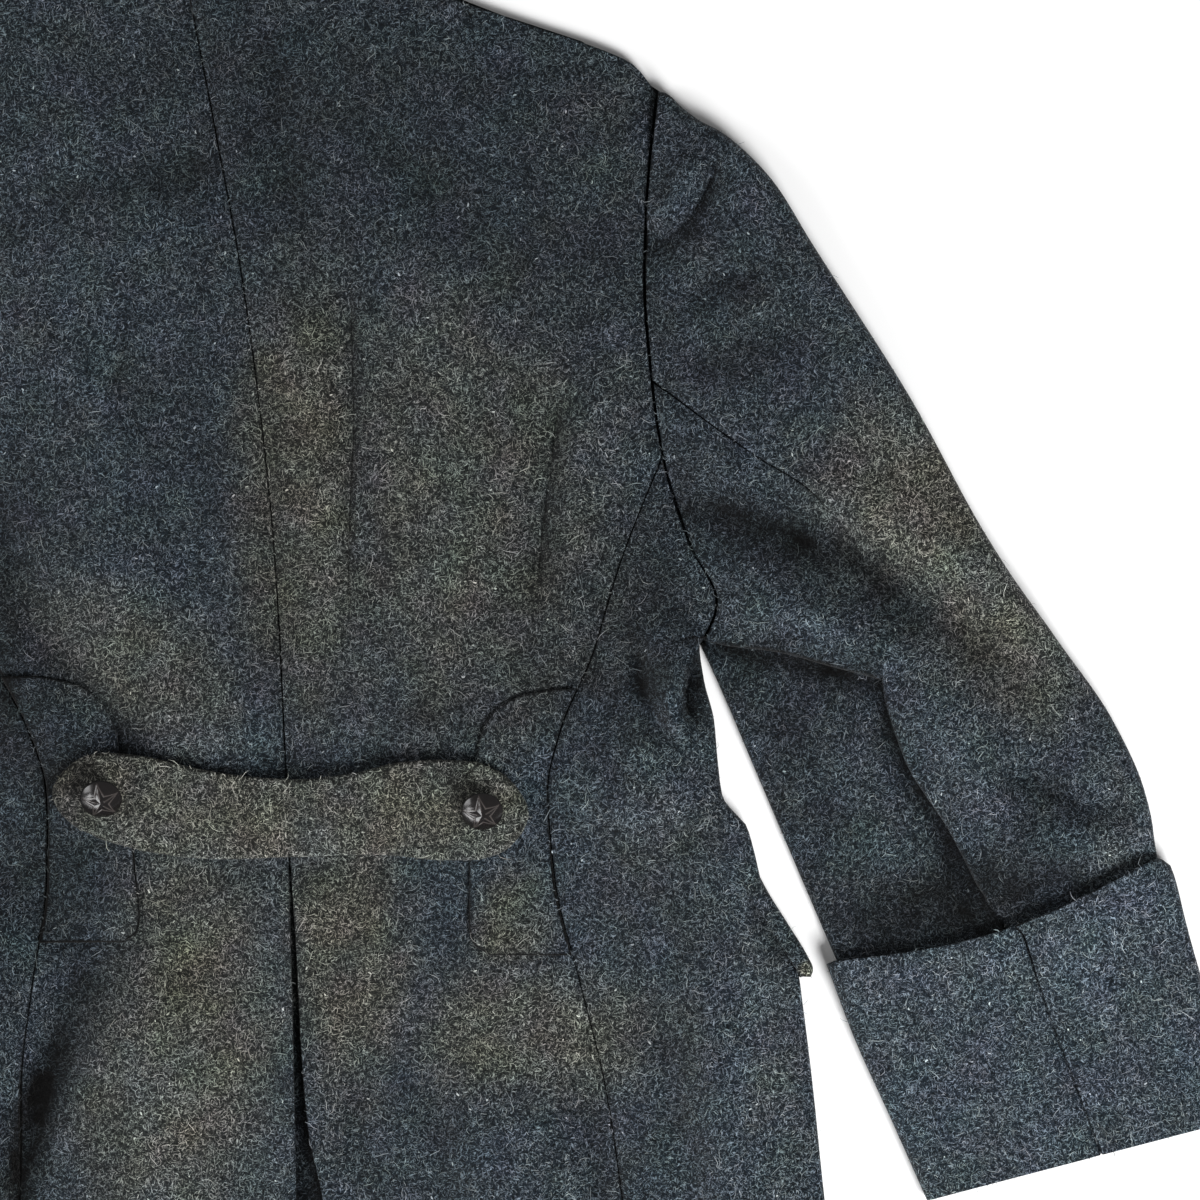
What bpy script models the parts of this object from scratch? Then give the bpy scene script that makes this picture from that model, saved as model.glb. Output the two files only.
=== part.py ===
"""A heavy wool greatcoat, laid out face down on a flat surface with its collar turned up.

Metres, +Z up. X runs across the coat and Y up its length, so its back is seen from above.
Every cloth piece is a sheet of points, worked out from the lines of the cut, with a wall round it.
The tables hold the right half. The left half is the same cut turned over about the centre back.
"""

import math

import bpy
from mathutils import Vector

# Cloth and layers
CLOTH = 0.0025  # one layer of melton
SEAM = 0.0006  # clear air between two edges that are sewn together
LIE = 0.0003  # clear air between two layers that lie on each other
LAYER = CLOTH + LIE  # height that one more layer adds
FLOOR_MID = CLOTH / 2  # middle of a layer on the floor
BACK_MID = 0.0100  # middle of the back where it lies flat
FOLD_STEPS = 4  # straight faces round a turned edge

# The middle of the laid coat's box, from the centre back at the waist
BOX_MIDDLE = Vector((0.0168, -0.0905, 0.0))

# Heights above the waist
NECK_BACK = 0.450
SHOULDER_POINT = 0.394
SEAM_TOP = 0.194  # the side back seam leaves the armhole here
ARMPIT = 0.090
VENT_TOP = -0.034
HEM = -0.750
COLLAR_DEPTH = 0.100
FRONT_LAP = 0.080  # how far the two fronts lie over each other

# Lines of the right half: (y, x)
CENTRE_BACK = (
    (0.450, -0.055), (0.373, -0.040), (0.296, -0.026), (0.208, -0.014), (0.136, -0.007),
    (0.037, -0.002), (-0.034, 0.001), (-0.133, 0.006), (-0.215, 0.012), (-0.450, 0.020), (-0.750, 0.022),
)
VENT_RIGHT = (
    (-0.034, 0.0012), (-0.084, 0.0044), (-0.133, 0.0070), (-0.177, 0.0110), (-0.215, 0.0190),
    (-0.450, 0.0450), (-0.750, 0.0580),
)
VENT_LEFT = ((-0.034, 0.0008), (-0.133, 0.0035), (-0.215, 0.0050), (-0.450, 0.0020), (-0.750, -0.0060))
ARMHOLE = (
    (0.394, 0.203), (0.345, 0.198), (0.290, 0.196), (0.235, 0.200), (0.194, 0.206),
    (0.145, 0.221), (0.113, 0.236), (0.090, 0.2275),
)
SIDE_SEAM = (
    (0.194, 0.206), (0.136, 0.183), (0.081, 0.166), (0.043, 0.150), (0.010, 0.143), (-0.040, 0.147),
    (-0.097, 0.161), (-0.155, 0.175), (-0.215, 0.184), (-0.450, 0.212), (-0.750, 0.238),
)
SIDE_FOLD = (
    (0.090, 0.2265), (0.070, 0.229), (0.048, 0.235), (0.013, 0.238), (-0.012, 0.252), (-0.040, 0.261),
    (-0.075, 0.270), (-0.106, 0.279), (-0.150, 0.288), (-0.215, 0.295), (-0.450, 0.325), (-0.750, 0.359),
)
# Width of the left half as a share of the right, because a deep fold takes up cloth there: (y, share)
LEFT_SHARE = ((0.450, 1.00), (0.200, 0.97), (0.000, 0.92), (-0.200, 0.93), (-0.750, 1.00))
# Top edges of the panels: (distance from the centre, y)
BACK_TOP = (
    (0.000, 0.450), (0.045, 0.454), (0.084, 0.468), (0.150, 0.444), (0.194, 0.429),
    (0.232, 0.416), (0.246, 0.409), (0.258, 0.394),
)
FRONT_TOP = ((0.000, 0.372), (0.040, 0.385), (0.072, 0.424), *BACK_TOP[2:])

# Lines of the right sleeve, from the armhole to its end: (x, y)
SLEEVE_OUTER = (
    (0.2075, 0.3930), (0.228, 0.379), (0.257, 0.356), (0.287, 0.312), (0.343, 0.224), (0.392, 0.136),
    (0.4235, 0.092), (0.454, 0.048), (0.473, 0.004), (0.4785, -0.028), (0.4935, -0.085), (0.5205, -0.1680),
)
SLEEVE_INNER = ((0.2300, 0.0885), (0.255, 0.026), (0.3010, -0.082), (0.3575, -0.2130))
HIND_SEAM_UPPER = ((0.2003, 0.235), (0.256, 0.194), (0.289, 0.173), (0.316, 0.136), (0.3265, 0.074))
HIND_SEAM_LOWER = ((0.3265, 0.074), (0.343, 0.026), (0.367, -0.012), (0.393, -0.067), (0.4370, -0.1920))
SLEEVE_FOLD = ((0.2300, 0.0940), (0.270, 0.089), (0.300, 0.081), (0.3265, 0.074))
FORE_SEAM = ((0.2130, 0.172), (0.4000, -0.2000))  # under the sleeve, straight
FORE_SEAM_CUFF = 0.65  # share of it above the cuff
CUFF_SHARES = (0.77, 0.54)  # shares of the top and the under sleeve's rows above the cuff

# Lines of the right cuff, from its free top edge to its end: (x, y)
CUFF_OUTER = ((0.4850, -0.030), (0.494, -0.062), (0.500, -0.084), (0.527, -0.170))
CUFF_INNER = ((0.2960, -0.0860), (0.312, -0.128), (0.332, -0.172), (0.3515, -0.2160))
CUFF_DIP = 0.011  # the top edge sinks this far between its corners
CUFF_FLARE = 0.005  # the top edge stands this far off the sleeve
CUFF_SEAM = 0.55  # the cuff meets itself at this share of its width

# Heights of the sleeve's layers
SLEEVE_LOW = 0.0062  # the under sleeve, below its fold
SLEEVE_HIGH = 0.0135  # the top sleeve
CUFFED_FLOOR = FLOOR_MID + LAYER
CUFFED_TOP = CUFFED_FLOOR + LAYER + 0.0006
CUFF_TOP_MID = CUFFED_TOP + LAYER
CUFF_HOLD = 0.012  # the sleeve is held flat from this far above the cuff
CUFF_EASE = 0.028  # and is drawn in over this length
STEP_WIDTH = 0.012  # width of the slope at the sleeve's fold

# Half belt: (x, middle y, half width)
BELT = (
    (-0.1285, 0.0080, 0.0040), (-0.1230, 0.0080, 0.0125), (-0.1140, 0.0080, 0.0195),
    (-0.0980, 0.0060, 0.0245), (-0.0760, 0.0020, 0.0260), (-0.0480, -0.0030, 0.0246),
    (-0.0210, -0.0052, 0.0226), (0.0060, -0.0054, 0.0214), (0.0330, -0.0035, 0.0222),
    (0.0620, -0.0012, 0.0252), (0.0840, -0.0017, 0.0268), (0.1020, -0.0022, 0.0262),
    (0.1180, -0.0028, 0.0212), (0.1270, -0.0030, 0.0130), (0.1318, -0.0030, 0.0040),
)
BELT_CLOTH = 0.0050  # two layers turned in

# Tail flap, sewn into the side back seam: (y, x of its free edge)
TAIL_FLAP = (
    (0.0655, 0.148), (0.0620, 0.129), (0.0560, 0.117), (0.0460, 0.1085), (0.0330, 0.1045), (0.0000, 0.1030),
    (-0.0310, 0.1000), (-0.0640, 0.0995), (-0.0745, 0.1020), (-0.0810, 0.1110),
)
LEFT_FLAP_SHIFT = (0.007, 0.007)  # the left one lies this much nearer the centre and higher
# Pocket flap, which wraps the side: (y, x of its rear edge on top, x of its outline, x of its fore end below)
POCKET_FLAP = (
    (-0.034, 0.2465, 0.2650, 0.136), (-0.050, 0.2540, 0.2720, 0.134), (-0.066, 0.2635, 0.2800, 0.132),
    (-0.080, 0.2730, 0.2865, 0.131), (-0.090, 0.2800, 0.2890, 0.133),
)
# The front is lifted over the pocket flap: (y, share of a layer), (distance from the centre, share)
LIFT_ALONG = ((-0.0180, 0.0), (-0.0310, 1.0), (-0.0905, 1.0), (-0.1220, 0.0))
LIFT_ACROSS = ((0.076, 0.0), (0.115, 1.0))

# Buttons of the half belt: (name, x, y, lean of the face in degrees)
BUTTONS = (("belt_button_left", -0.1018, 0.0050, 24), ("belt_button_right", 0.1070, -0.0018, 20))
BUTTON_RADIUS = 0.0112
BUTTON_DOME = 0.0036
BUTTON_RIM = 0.0018
SHANK_RADIUS = 0.0030
STAR_POINTS = 5
STAR_REACH = 0.86  # of the button's radius
STAR_NOTCH = 0.36
STAR_RISE = 0.0010
BUTTON_SIDES = 30

# Folds of the uppermost cloth of the body: (x, y) to (x, y), rise, half width
BODY_FOLDS = (
    (-0.120, 0.340, -0.135, 0.130, 0.0070, 0.050),
    (-0.230, 0.260, -0.200, 0.090, 0.0050, 0.030),
    (0.085, 0.290, 0.078, 0.130, 0.0060, 0.034),
    (0.008, 0.260, 0.014, 0.130, 0.0040, 0.020),
    (0.172, 0.215, 0.152, 0.105, 0.0050, 0.020),
    (0.212, 0.085, 0.192, 0.000, 0.0060, 0.018),
    (-0.166, -0.070, -0.178, -0.330, 0.0130, 0.020),
    (-0.072, -0.130, -0.055, -0.380, 0.0080, 0.034),
    (0.235, -0.150, 0.285, -0.700, 0.0070, 0.026),
    (0.115, -0.190, 0.140, -0.700, 0.0080, 0.032),
    (-0.110, -0.420, -0.120, -0.720, 0.0080, 0.028),
    (-0.245, -0.180, -0.290, -0.700, 0.0070, 0.028),
)
# Folds of the uppermost cloth of the right sleeve
SLEEVE_FOLDS = (
    (0.262, 0.318, 0.330, 0.215, 0.0030, 0.030),
    (0.355, 0.085, 0.375, 0.020, 0.0050, 0.022),
    (0.400, -0.020, 0.455, -0.012, 0.0040, 0.020),
    (0.245, 0.180, 0.300, 0.120, 0.0030, 0.024),
)

# How finely each piece is divided
BACK_COLUMNS = (0.0, 0.11, 0.22, 0.3256, 0.48, 0.64, 0.80, 0.92, 1.0)
NECK_COLUMNS = 4  # columns from the centre back to the neck point
UPPER_BACK_ROWS = 9
BODY_LEVELS = (
    0.168, 0.142, 0.116, 0.090, 0.064, 0.038, 0.012, -0.012, -0.034, -0.060, -0.090, -0.122, -0.160, -0.215,
    -0.275, -0.350, -0.440, -0.540, -0.640, HEM,
)
FRONT_ARMHOLE_LEVELS = (0.394, 0.333, 0.280, 0.226, 0.172, 0.130)
FRONT_TOP_COLUMNS = (0.0, 0.028, 0.056, 0.084)  # distances from the centre front at the neck
FRONT_LAP_COLUMNS = (-FRONT_LAP / 2, 0.0, 0.044, 0.074)  # the same columns lower down
LAP_LIFT = (1, 1, 1, 0, 0, 0, 0, 0)  # which columns of the right front lie on the left one
OUTER_COLUMNS = (0.25, 0.5, 0.75, 1.0)
SIDE_COLUMNS = (0.0, 0.2, 0.4, 0.6, 0.8, 1.0)
SIDE_TOP = 0.1905  # level of the front's topmost row beside the back
UNDER_ARMHOLE_LEVELS = (0.2335, 0.214, 0.194, 0.168, 0.142, 0.116, 0.094)
UNDER_UPPER_SHARES = (0.0, 0.16, 0.34, 0.52, 0.72, 0.90, 1.0)
UNDER_LOWER_SHARES = (0.0, 0.134, 0.268, 0.40, 0.54, 0.77, 1.0)
UNDER_COLUMNS = (0.0, 0.2, 0.4, 0.6, 0.8, 1.0)
TOP_SLEEVE_COLUMNS = (0.0, 0.07, 0.20, 0.36, 0.52, 0.68, 0.84, 1.0)
TOP_BELOW_COLUMNS = (0.0, 0.25, 0.5, 0.75, 1.0)
UNDER_BELOW_COLUMNS = (0.0, 0.5, 1.0)
CUFF_ROWS = 5
CUFF_COLUMNS = (0.0, 0.33, 0.66, 1.0)


def along(table, place):
    """The second column of a table where its first is at place, on a smooth curve with no overshoot."""
    rows = sorted((row[0], row[1]) for row in table)
    if place <= rows[0][0]:
        return rows[0][1]
    if place >= rows[-1][0]:
        return rows[-1][1]
    gaps = [b[0] - a[0] for a, b in zip(rows, rows[1:])]
    slopes = [(b[1] - a[1]) / gap for a, b, gap in zip(rows, rows[1:], gaps)]
    bends = [slopes[0]]
    for before, after in zip(slopes, slopes[1:]):
        bends.append(2 * before * after / (before + after) if before * after > 0 else 0.0)
    bends.append(slopes[-1])
    i = max(k for k, row in enumerate(rows[:-1]) if row[0] <= place)
    f = (place - rows[i][0]) / gaps[i]
    start = rows[i][1] * (1 + 2 * f) * (1 - f) ** 2 + bends[i] * gaps[i] * f * (1 - f) ** 2
    end = rows[i + 1][1] * f * f * (3 - 2 * f) + bends[i + 1] * gaps[i] * f * f * (f - 1)
    return start + end


def follow(points, share):
    """The point at a share of the length of a smooth line through points."""
    lengths = [0.0]
    for a, b in zip(points, points[1:]):
        lengths.append(lengths[-1] + math.dist(a, b))
    place = share * lengths[-1]
    return Vector([along(list(zip(lengths, column)), place) for column in zip(*points)])


def ease(value):
    """0 below 0, 1 above 1, and a smooth rise between."""
    f = min(1.0, max(0.0, value))
    return f * f * (3 - 2 * f)


def mix(a, b, share):
    return a + (b - a) * share


def mirrored(side, x, y):
    """x on the right half, or the place on the left half that matches it."""
    if side > 0:
        return x
    middle = along(CENTRE_BACK, y)
    return middle - along(LEFT_SHARE, y) * (x - middle)


def sleeve_mirrored(side, x, y):
    """The same for a sleeve, which keeps its full width beyond the armhole."""
    if side > 0:
        return x
    edge = along(ARMHOLE, max(y, ARMPIT))
    return mirrored(side, edge, y) - (x - edge)


def fold_rise(folds, x, y):
    """Height that a table of folds adds at a place."""
    rise = 0.0
    for x0, y0, x1, y1, height, half in folds:
        line = Vector((x1 - x0, y1 - y0))
        share = min(1.0, max(0.0, Vector((x - x0, y - y0)).dot(line) / line.length_squared))
        distance = math.dist((x, y), (x0 + share * line.x, y0 + share * line.y))
        rise += height * math.exp(-((distance / half) ** 2))
    return rise


def back_height(x, y):
    """Middle of the uppermost cloth of the body."""
    return BACK_MID + fold_rise(BODY_FOLDS, x, y)


def back_point(x, y, out=0.0):
    """A point of the uppermost cloth of the body, moved out by a distance along its normal."""
    step = 0.002
    slope_x = (back_height(x + step, y) - back_height(x - step, y)) / (2 * step)
    slope_y = (back_height(x, y + step) - back_height(x, y - step)) / (2 * step)
    normal = Vector((-slope_x, -slope_y, 1.0)).normalized()
    return Vector((x, y, back_height(x, y))) + normal * out


def turned_edge(low, high, outward):
    """Points round a turned edge, from the lower sheet to the upper sheet, without its two ends."""
    middle = (low + high) / 2
    radius = (high.z - low.z) / 2
    angles = [math.pi * (k / FOLD_STEPS - 0.5) for k in range(1, FOLD_STEPS)]
    return [middle + radius * (outward * math.cos(a) + Vector((0, 0, math.sin(a)))) for a in angles]


def inset(edge, outward, low_z, high_z):
    """Where a sheet leaves the flat to turn round an edge whose outside is at edge."""
    return edge - outward * ((high_z - low_z) / 2 + CLOTH / 2)


def material(name, colour, roughness):
    made = bpy.data.materials.new(name)
    made.use_nodes = True
    shader = made.node_tree.nodes["Principled BSDF"]
    shader.inputs["Base Color"].default_value = (*colour, 1.0)
    shader.inputs["Roughness"].default_value = roughness
    shader.inputs["Metallic"].default_value = 0.0
    return made


def object_from(name, points, faces, finish, coat):
    mesh = bpy.data.meshes.new(name)
    mesh.from_pydata(points, [], faces)
    mesh.validate()
    mesh.materials.append(finish)
    made = bpy.data.objects.new(name, mesh)
    bpy.context.scene.collection.objects.link(made)
    made.parent = coat
    return made


def cloth(name, grids, finish, coat, thickness=CLOTH):
    """One cloth piece: grids of points that share their edges, with a wall of the cloth's thickness."""
    index = {}
    points = []
    faces = []

    def number(point):
        key = tuple(round(value * 1e6) for value in point)
        if key not in index:
            index[key] = len(points)
            points.append(point)
        return index[key]

    for grid in grids:
        for upper, lower in zip(grid, grid[1:]):
            for corners in zip(upper, lower, lower[1:], upper[1:]):
                ring = list(dict.fromkeys(number(corner) for corner in corners))
                if len(ring) > 2:
                    faces.append(ring)
    made = object_from(name, points, faces, finish, coat)
    wall = made.modifiers.new("wall", "SOLIDIFY")
    wall.thickness = thickness
    wall.offset = 0.0
    wall.use_even_offset = True
    return made


# Body


def inner_edge(side, y):
    """Edge of a back panel at the centre: the seam above the vent, the open edge below it."""
    if y > VENT_TOP:
        return along(CENTRE_BACK, y) + side * SEAM / 2
    return along(VENT_RIGHT if side > 0 else VENT_LEFT, y) + side * SEAM / 2


def neck_x(side, out):
    """x at a distance from the centre back, on the line of the neck and shoulder."""
    share = out / BACK_TOP[-1][0]
    edge = mirrored(side, along(ARMHOLE, SHOULDER_POINT) - SEAM / 2, SHOULDER_POINT)
    return mix(inner_edge(side, NECK_BACK), edge, share)


def back_panel(side):
    """Rows of one back panel, from the neck and shoulder to the hem."""
    rows = []
    for k in range(UPPER_BACK_ROWS):
        down = k / (UPPER_BACK_ROWS - 1)
        edge_y = mix(SHOULDER_POINT, SEAM_TOP, down)
        middle_y = mix(NECK_BACK, SEAM_TOP, down)
        edge_x = mirrored(side, along(ARMHOLE, edge_y) - SEAM / 2, edge_y)
        row = []
        for share in BACK_COLUMNS:
            y = mix(along(BACK_TOP, share * BACK_TOP[-1][0]), SEAM_TOP, down)
            point = back_point(mix(inner_edge(side, middle_y), edge_x, share), y)
            shoulder = mix(CUFFED_TOP, FLOOR_MID + LAYER, ease((share - 0.34) / 0.4))
            point.z = mix(shoulder, point.z, ease(down * 4))
            row.append(point)
        rows.append(row)
    for y in BODY_LEVELS:
        edge_x = mirrored(side, along(SIDE_SEAM, y) - SEAM / 2, y)
        rows.append([back_point(mix(inner_edge(side, y), edge_x, share), y) for share in BACK_COLUMNS])
    return [rows]


def floor_height(side, x, y):
    """Middle of a front on the floor, lifted over its pocket flap."""
    if not LIFT_ALONG[-1][0] < y < LIFT_ALONG[0][0]:
        return FLOOR_MID
    out = abs(x - along(CENTRE_BACK, y))
    if side < 0:
        out /= along(LEFT_SHARE, y)
    return FLOOR_MID + LAYER * along(LIFT_ALONG, y) * along(LIFT_ACROSS, out)


def side_turn(side, y):
    """The turned side edge at a level: outward direction, lower point, upper point."""
    outward = Vector((side, 0, 0))
    edge_x = mirrored(side, along(SIDE_FOLD, y), y)
    high = back_height(edge_x - side * 0.006, y)
    low = floor_height(side, edge_x - side * 0.006, y)
    flat = inset(Vector((edge_x, y, 0)), outward, low, high)
    return outward, Vector((flat.x, y, low)), Vector((flat.x, y, high))


def front_row(side, near, edge_x, heights):
    """Points of a front on the floor: the columns by the centre, then even ones out to an edge."""
    xs = near + [mix(near[-1], edge_x, share) for share in OUTER_COLUMNS]
    row = []
    for x, y, lift in zip(xs, heights, LAP_LIFT):
        row.append(Vector((x, y, floor_height(side, x, y) + (LAYER * lift if side > 0 else 0))))
    return row


def front_panel(side):
    """One front: its sheet on the floor, and the part that turns up round the side to the side back seam."""
    below = []
    neck_side = FRONT_TOP_COLUMNS[-1]
    tops = [*FRONT_TOP_COLUMNS, *(mix(neck_side, FRONT_TOP[-1][0], share) for share in OUTER_COLUMNS)]
    for level in FRONT_ARMHOLE_LEVELS:
        down = (SHOULDER_POINT - level) / (SHOULDER_POINT - ARMPIT)
        heights = [mix(along(FRONT_TOP, out), ARMPIT, down) for out in tops]
        edge_x = mirrored(side, along(ARMHOLE, level) - SEAM / 2, level)
        near = []
        for top, low, y in zip(FRONT_TOP_COLUMNS, FRONT_LAP_COLUMNS, heights):
            neck = neck_x(side, top)
            near.append(mix(neck, along(CENTRE_BACK, y) + side * low, ease(down * 2)))
        below.append(front_row(side, near, edge_x, heights))
    top = []
    turned = []
    for y in (SIDE_TOP, *BODY_LEVELS):
        seam_x = mirrored(side, along(SIDE_SEAM, y) + SEAM / 2, y)
        if y > ARMPIT:
            edge_x = mirrored(side, along(ARMHOLE, y) - SEAM / 2, y)
            top.append([back_point(mix(seam_x, edge_x, share), y) for share in SIDE_COLUMNS])
            continue
        outward, low, high = side_turn(side, y)
        near = [along(CENTRE_BACK, y) + side * out for out in FRONT_LAP_COLUMNS]
        below.append([*front_row(side, near, low.x, [y] * len(LAP_LIFT))[:-1], low])
        top.append([*(back_point(mix(seam_x, high.x, share), y) for share in SIDE_COLUMNS[:-1]), high])
        turned.append([low, *turned_edge(low, high, outward), high])
    return [below, turned, [row[::-1] for row in top]]


def vent_underlap():
    """The strip that lies under the open vent."""
    height = FLOOR_MID + LAYER + LAYER
    reach = 0.035
    rows = []
    for y in (VENT_TOP, -0.10, -0.16, -0.23, -0.32, -0.42, -0.53, -0.64, HEM + 0.004):
        left = along(VENT_LEFT, y) - reach
        right = along(VENT_RIGHT, y) + reach
        rows.append([Vector((mix(left, right, k / 4), y, height)) for k in range(5)])
    return [rows]


def collar():
    """The collar turned up: its front ends on the floor, and the back of it above them."""
    middle = along(CENTRE_BACK, NECK_BACK)
    backs = [share * BACK_TOP[-1][0] for share in BACK_COLUMNS[:NECK_COLUMNS]]
    fronts = [0.002, *FRONT_TOP_COLUMNS[1:]]
    rows = []
    for up in (0.0, 0.33, 0.66, 1.0):
        spread = 1 + 0.06 * up

        def place(side, out, line, height):
            x = mix(middle, neck_x(side, out), spread)
            return Vector((x, along(line, out) + 2 * SEAM + up * COLLAR_DEPTH, height))

        halves = []
        for side in (1, -1):
            outward = Vector((side, 0, 0))
            low = place(side, backs[-1], BACK_TOP, FLOOR_MID)
            high = place(side, backs[-1], BACK_TOP, CUFFED_TOP)
            half = [place(side, out, FRONT_TOP, FLOOR_MID) for out in fronts[:-1]]
            half += [low, *turned_edge(low, high, outward), high]
            half += [place(side, out, BACK_TOP, CUFFED_TOP) for out in backs[-2:0:-1]]
            halves.append(half)
        rows.append([*halves[0], place(1, 0.0, BACK_TOP, CUFFED_TOP), *reversed(halves[1])])
    return [rows]


# Sleeves


def left_of(start, end, x, y):
    """Distance of a place to the left of a line."""
    line = Vector(end) - Vector(start)
    return line.cross(Vector((x, y)) - Vector(start)) / line.length


def sleeve_height(x, y):
    """Middle of the right sleeve's uppermost cloth. Below and inside its fold it lies low."""
    below = -left_of(SLEEVE_FOLD[0], SLEEVE_FOLD[-1], x, y)
    inside = -left_of(HIND_SEAM_LOWER[0], HIND_SEAM_LOWER[3], x, y)
    step = 1 - ease(min(below, inside) / STEP_WIDTH + 1)
    armhole = ease((x - along(ARMHOLE, y)) / 0.045) if y > ARMPIT else 1.0
    high = mix(BACK_MID, SLEEVE_HIGH, armhole)
    return mix(SLEEVE_LOW, high, step) + step * fold_rise(SLEEVE_FOLDS, x, y)


def held(place, height, held_height):
    """A height of the right sleeve, drawn towards the flat form that it has inside the cuff."""
    above = left_of(CUFF_INNER[0], CUFF_OUTER[0], place.x, place.y)
    return mix(height, held_height, 1 - ease((above - CUFF_HOLD) / CUFF_EASE))


def sleeve_top(side, place):
    """A place of the right sleeve as a point of this side's uppermost cloth."""
    height = held(place, sleeve_height(place.x, place.y), CUFFED_TOP)
    return Vector((sleeve_mirrored(side, place.x, place.y), place.y, height))


def sleeve_floor(side, place):
    """A place of the right sleeve as a point of this side's cloth on the floor."""
    return Vector((sleeve_mirrored(side, place.x, place.y), place.y, held(place, FLOOR_MID, CUFFED_FLOOR)))


def flat_end(edge, inside):
    """Where the right sleeve leaves the flat to turn round its edge."""
    outward = (edge - inside).normalized()
    near = edge - outward * 0.006
    high = held(near, sleeve_height(near.x, near.y), CUFFED_TOP)
    return inset(edge, outward, held(near, FLOOR_MID, CUFFED_FLOOR), high)


def sleeve_turn(side, flat, edge):
    """Points round a sleeve's turned edge, from the floor upwards, with both ends."""
    low = sleeve_floor(side, flat)
    high = sleeve_top(side, flat)
    ahead = Vector((sleeve_mirrored(side, edge.x, edge.y), edge.y, low.z)) - low
    return [low, *turned_edge(low, high, ahead.normalized()), high]


def sleeve_edge(y):
    """The sleeve's edge at the armhole, a little freer where the shoulder and the armpit turn."""
    return along(ARMHOLE, y) + SEAM / 2 + SEAM * (2 * ease((y - 0.350) / 0.030) + ease((0.165 - y) / 0.020))


def to_armhole(row):
    """How far each place of a sleeve's first row has to move across to meet the armhole."""
    return [Vector((sleeve_edge(place.y) - place.x, 0)) for place in row]


def moved(row, shift, share):
    """A row moved by what its first row was moved, less and less along the sleeve."""
    weight = 1 - ease(share / 0.25)
    return [place + move * weight for place, move in zip(row, shift)]


def hind_seam(share):
    """A place on the seam of the sleeve that shows: its upper part, then its lower part."""
    if share < 0.5:
        return follow(HIND_SEAM_UPPER, share * 2)
    return follow(HIND_SEAM_LOWER, share * 2 - 1)


def fore_seam(share, cuff_share):
    """A place on the seam underneath, which meets the cuff at the same row as the edges do."""
    down = along(((0, 0), (cuff_share, FORE_SEAM_CUFF), (1, 1)), share)
    return Vector(FORE_SEAM[0]).lerp(Vector(FORE_SEAM[1]), down)


def top_sleeve(side):
    """The top sleeve, from the seam that shows, round the outer edge, to the seam underneath."""
    shares = [share / 2 for share in UNDER_UPPER_SHARES]
    shares += [0.5 + share / 2 for share in UNDER_LOWER_SHARES[1:]]
    grid = []
    shifts = None
    for share in shares:
        outer = follow(SLEEVE_OUTER, share)
        seam = hind_seam(share)
        under = fore_seam(share, CUFF_SHARES[0])
        flat = flat_end(outer, seam)
        sewn = seam + (outer - seam).normalized() * SEAM * (0.5 if share < 0.5 else 1.5)
        above = [sewn.lerp(flat, part) for part in TOP_SLEEVE_COLUMNS]
        below = [flat.lerp(under + (flat - under).normalized() * SEAM, part) for part in TOP_BELOW_COLUMNS]
        if shifts is None:
            shifts = to_armhole(above), to_armhole(below), to_armhole([outer])
        above = moved(above, shifts[0], share)
        below = moved(below, shifts[1], share)
        turn = sleeve_turn(side, above[-1], *moved([outer], shifts[2], share))
        row = [sleeve_top(side, place) for place in above[:-1]] + turn[::-1]
        grid.append(row + [sleeve_floor(side, place) for place in below[1:]])
    return [grid]


def under_sleeve(side):
    """The under sleeve: above its fold, below it, and round the inner edge to the seam underneath."""
    top = []
    for down, level in zip(UNDER_UPPER_SHARES, UNDER_ARMHOLE_LEVELS):
        start = Vector((sleeve_edge(level), level))
        seam = follow(HIND_SEAM_UPPER, down)
        end = seam + (start - seam).normalized() * SEAM / 2 if down > 0 else start
        row = []
        for part in UNDER_COLUMNS:
            place = start.lerp(end, part)
            if 0 < part < 1:
                place = place.lerp(follow(SLEEVE_FOLD, part), ease(down))
            row.append(sleeve_top(side, place))
        top.append(row)
    turned = []
    shift = None
    for share in UNDER_LOWER_SHARES:
        inner = follow(SLEEVE_INNER, share)
        seam = follow(HIND_SEAM_LOWER, share)
        under = fore_seam(share, CUFF_SHARES[1])
        flat = flat_end(inner, seam)
        start = seam + (inner - seam).normalized() * SEAM / 2
        turn = sleeve_turn(side, flat, inner)
        row = [turn[-1]]
        for part in UNDER_COLUMNS[1:]:
            place = flat.lerp(start, part)
            place.y -= 0.006 * (1 - share) ** 6 * math.sin(math.pi * min(part * 2, 0.5 + part / 2))
            row.append(sleeve_top(side, place))
        top.append(row)
        sewn = under + (flat - under).normalized() * 3 * SEAM
        below = [sewn.lerp(flat, part) for part in UNDER_BELOW_COLUMNS]
        if shift is None:
            shift = [*to_armhole(below)[:-1], Vector((0, 0))]
        below = moved(below, shift, share)
        turned.append([sleeve_floor(side, place) for place in below[:-1]] + turn)
    return [top, turned]


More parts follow.
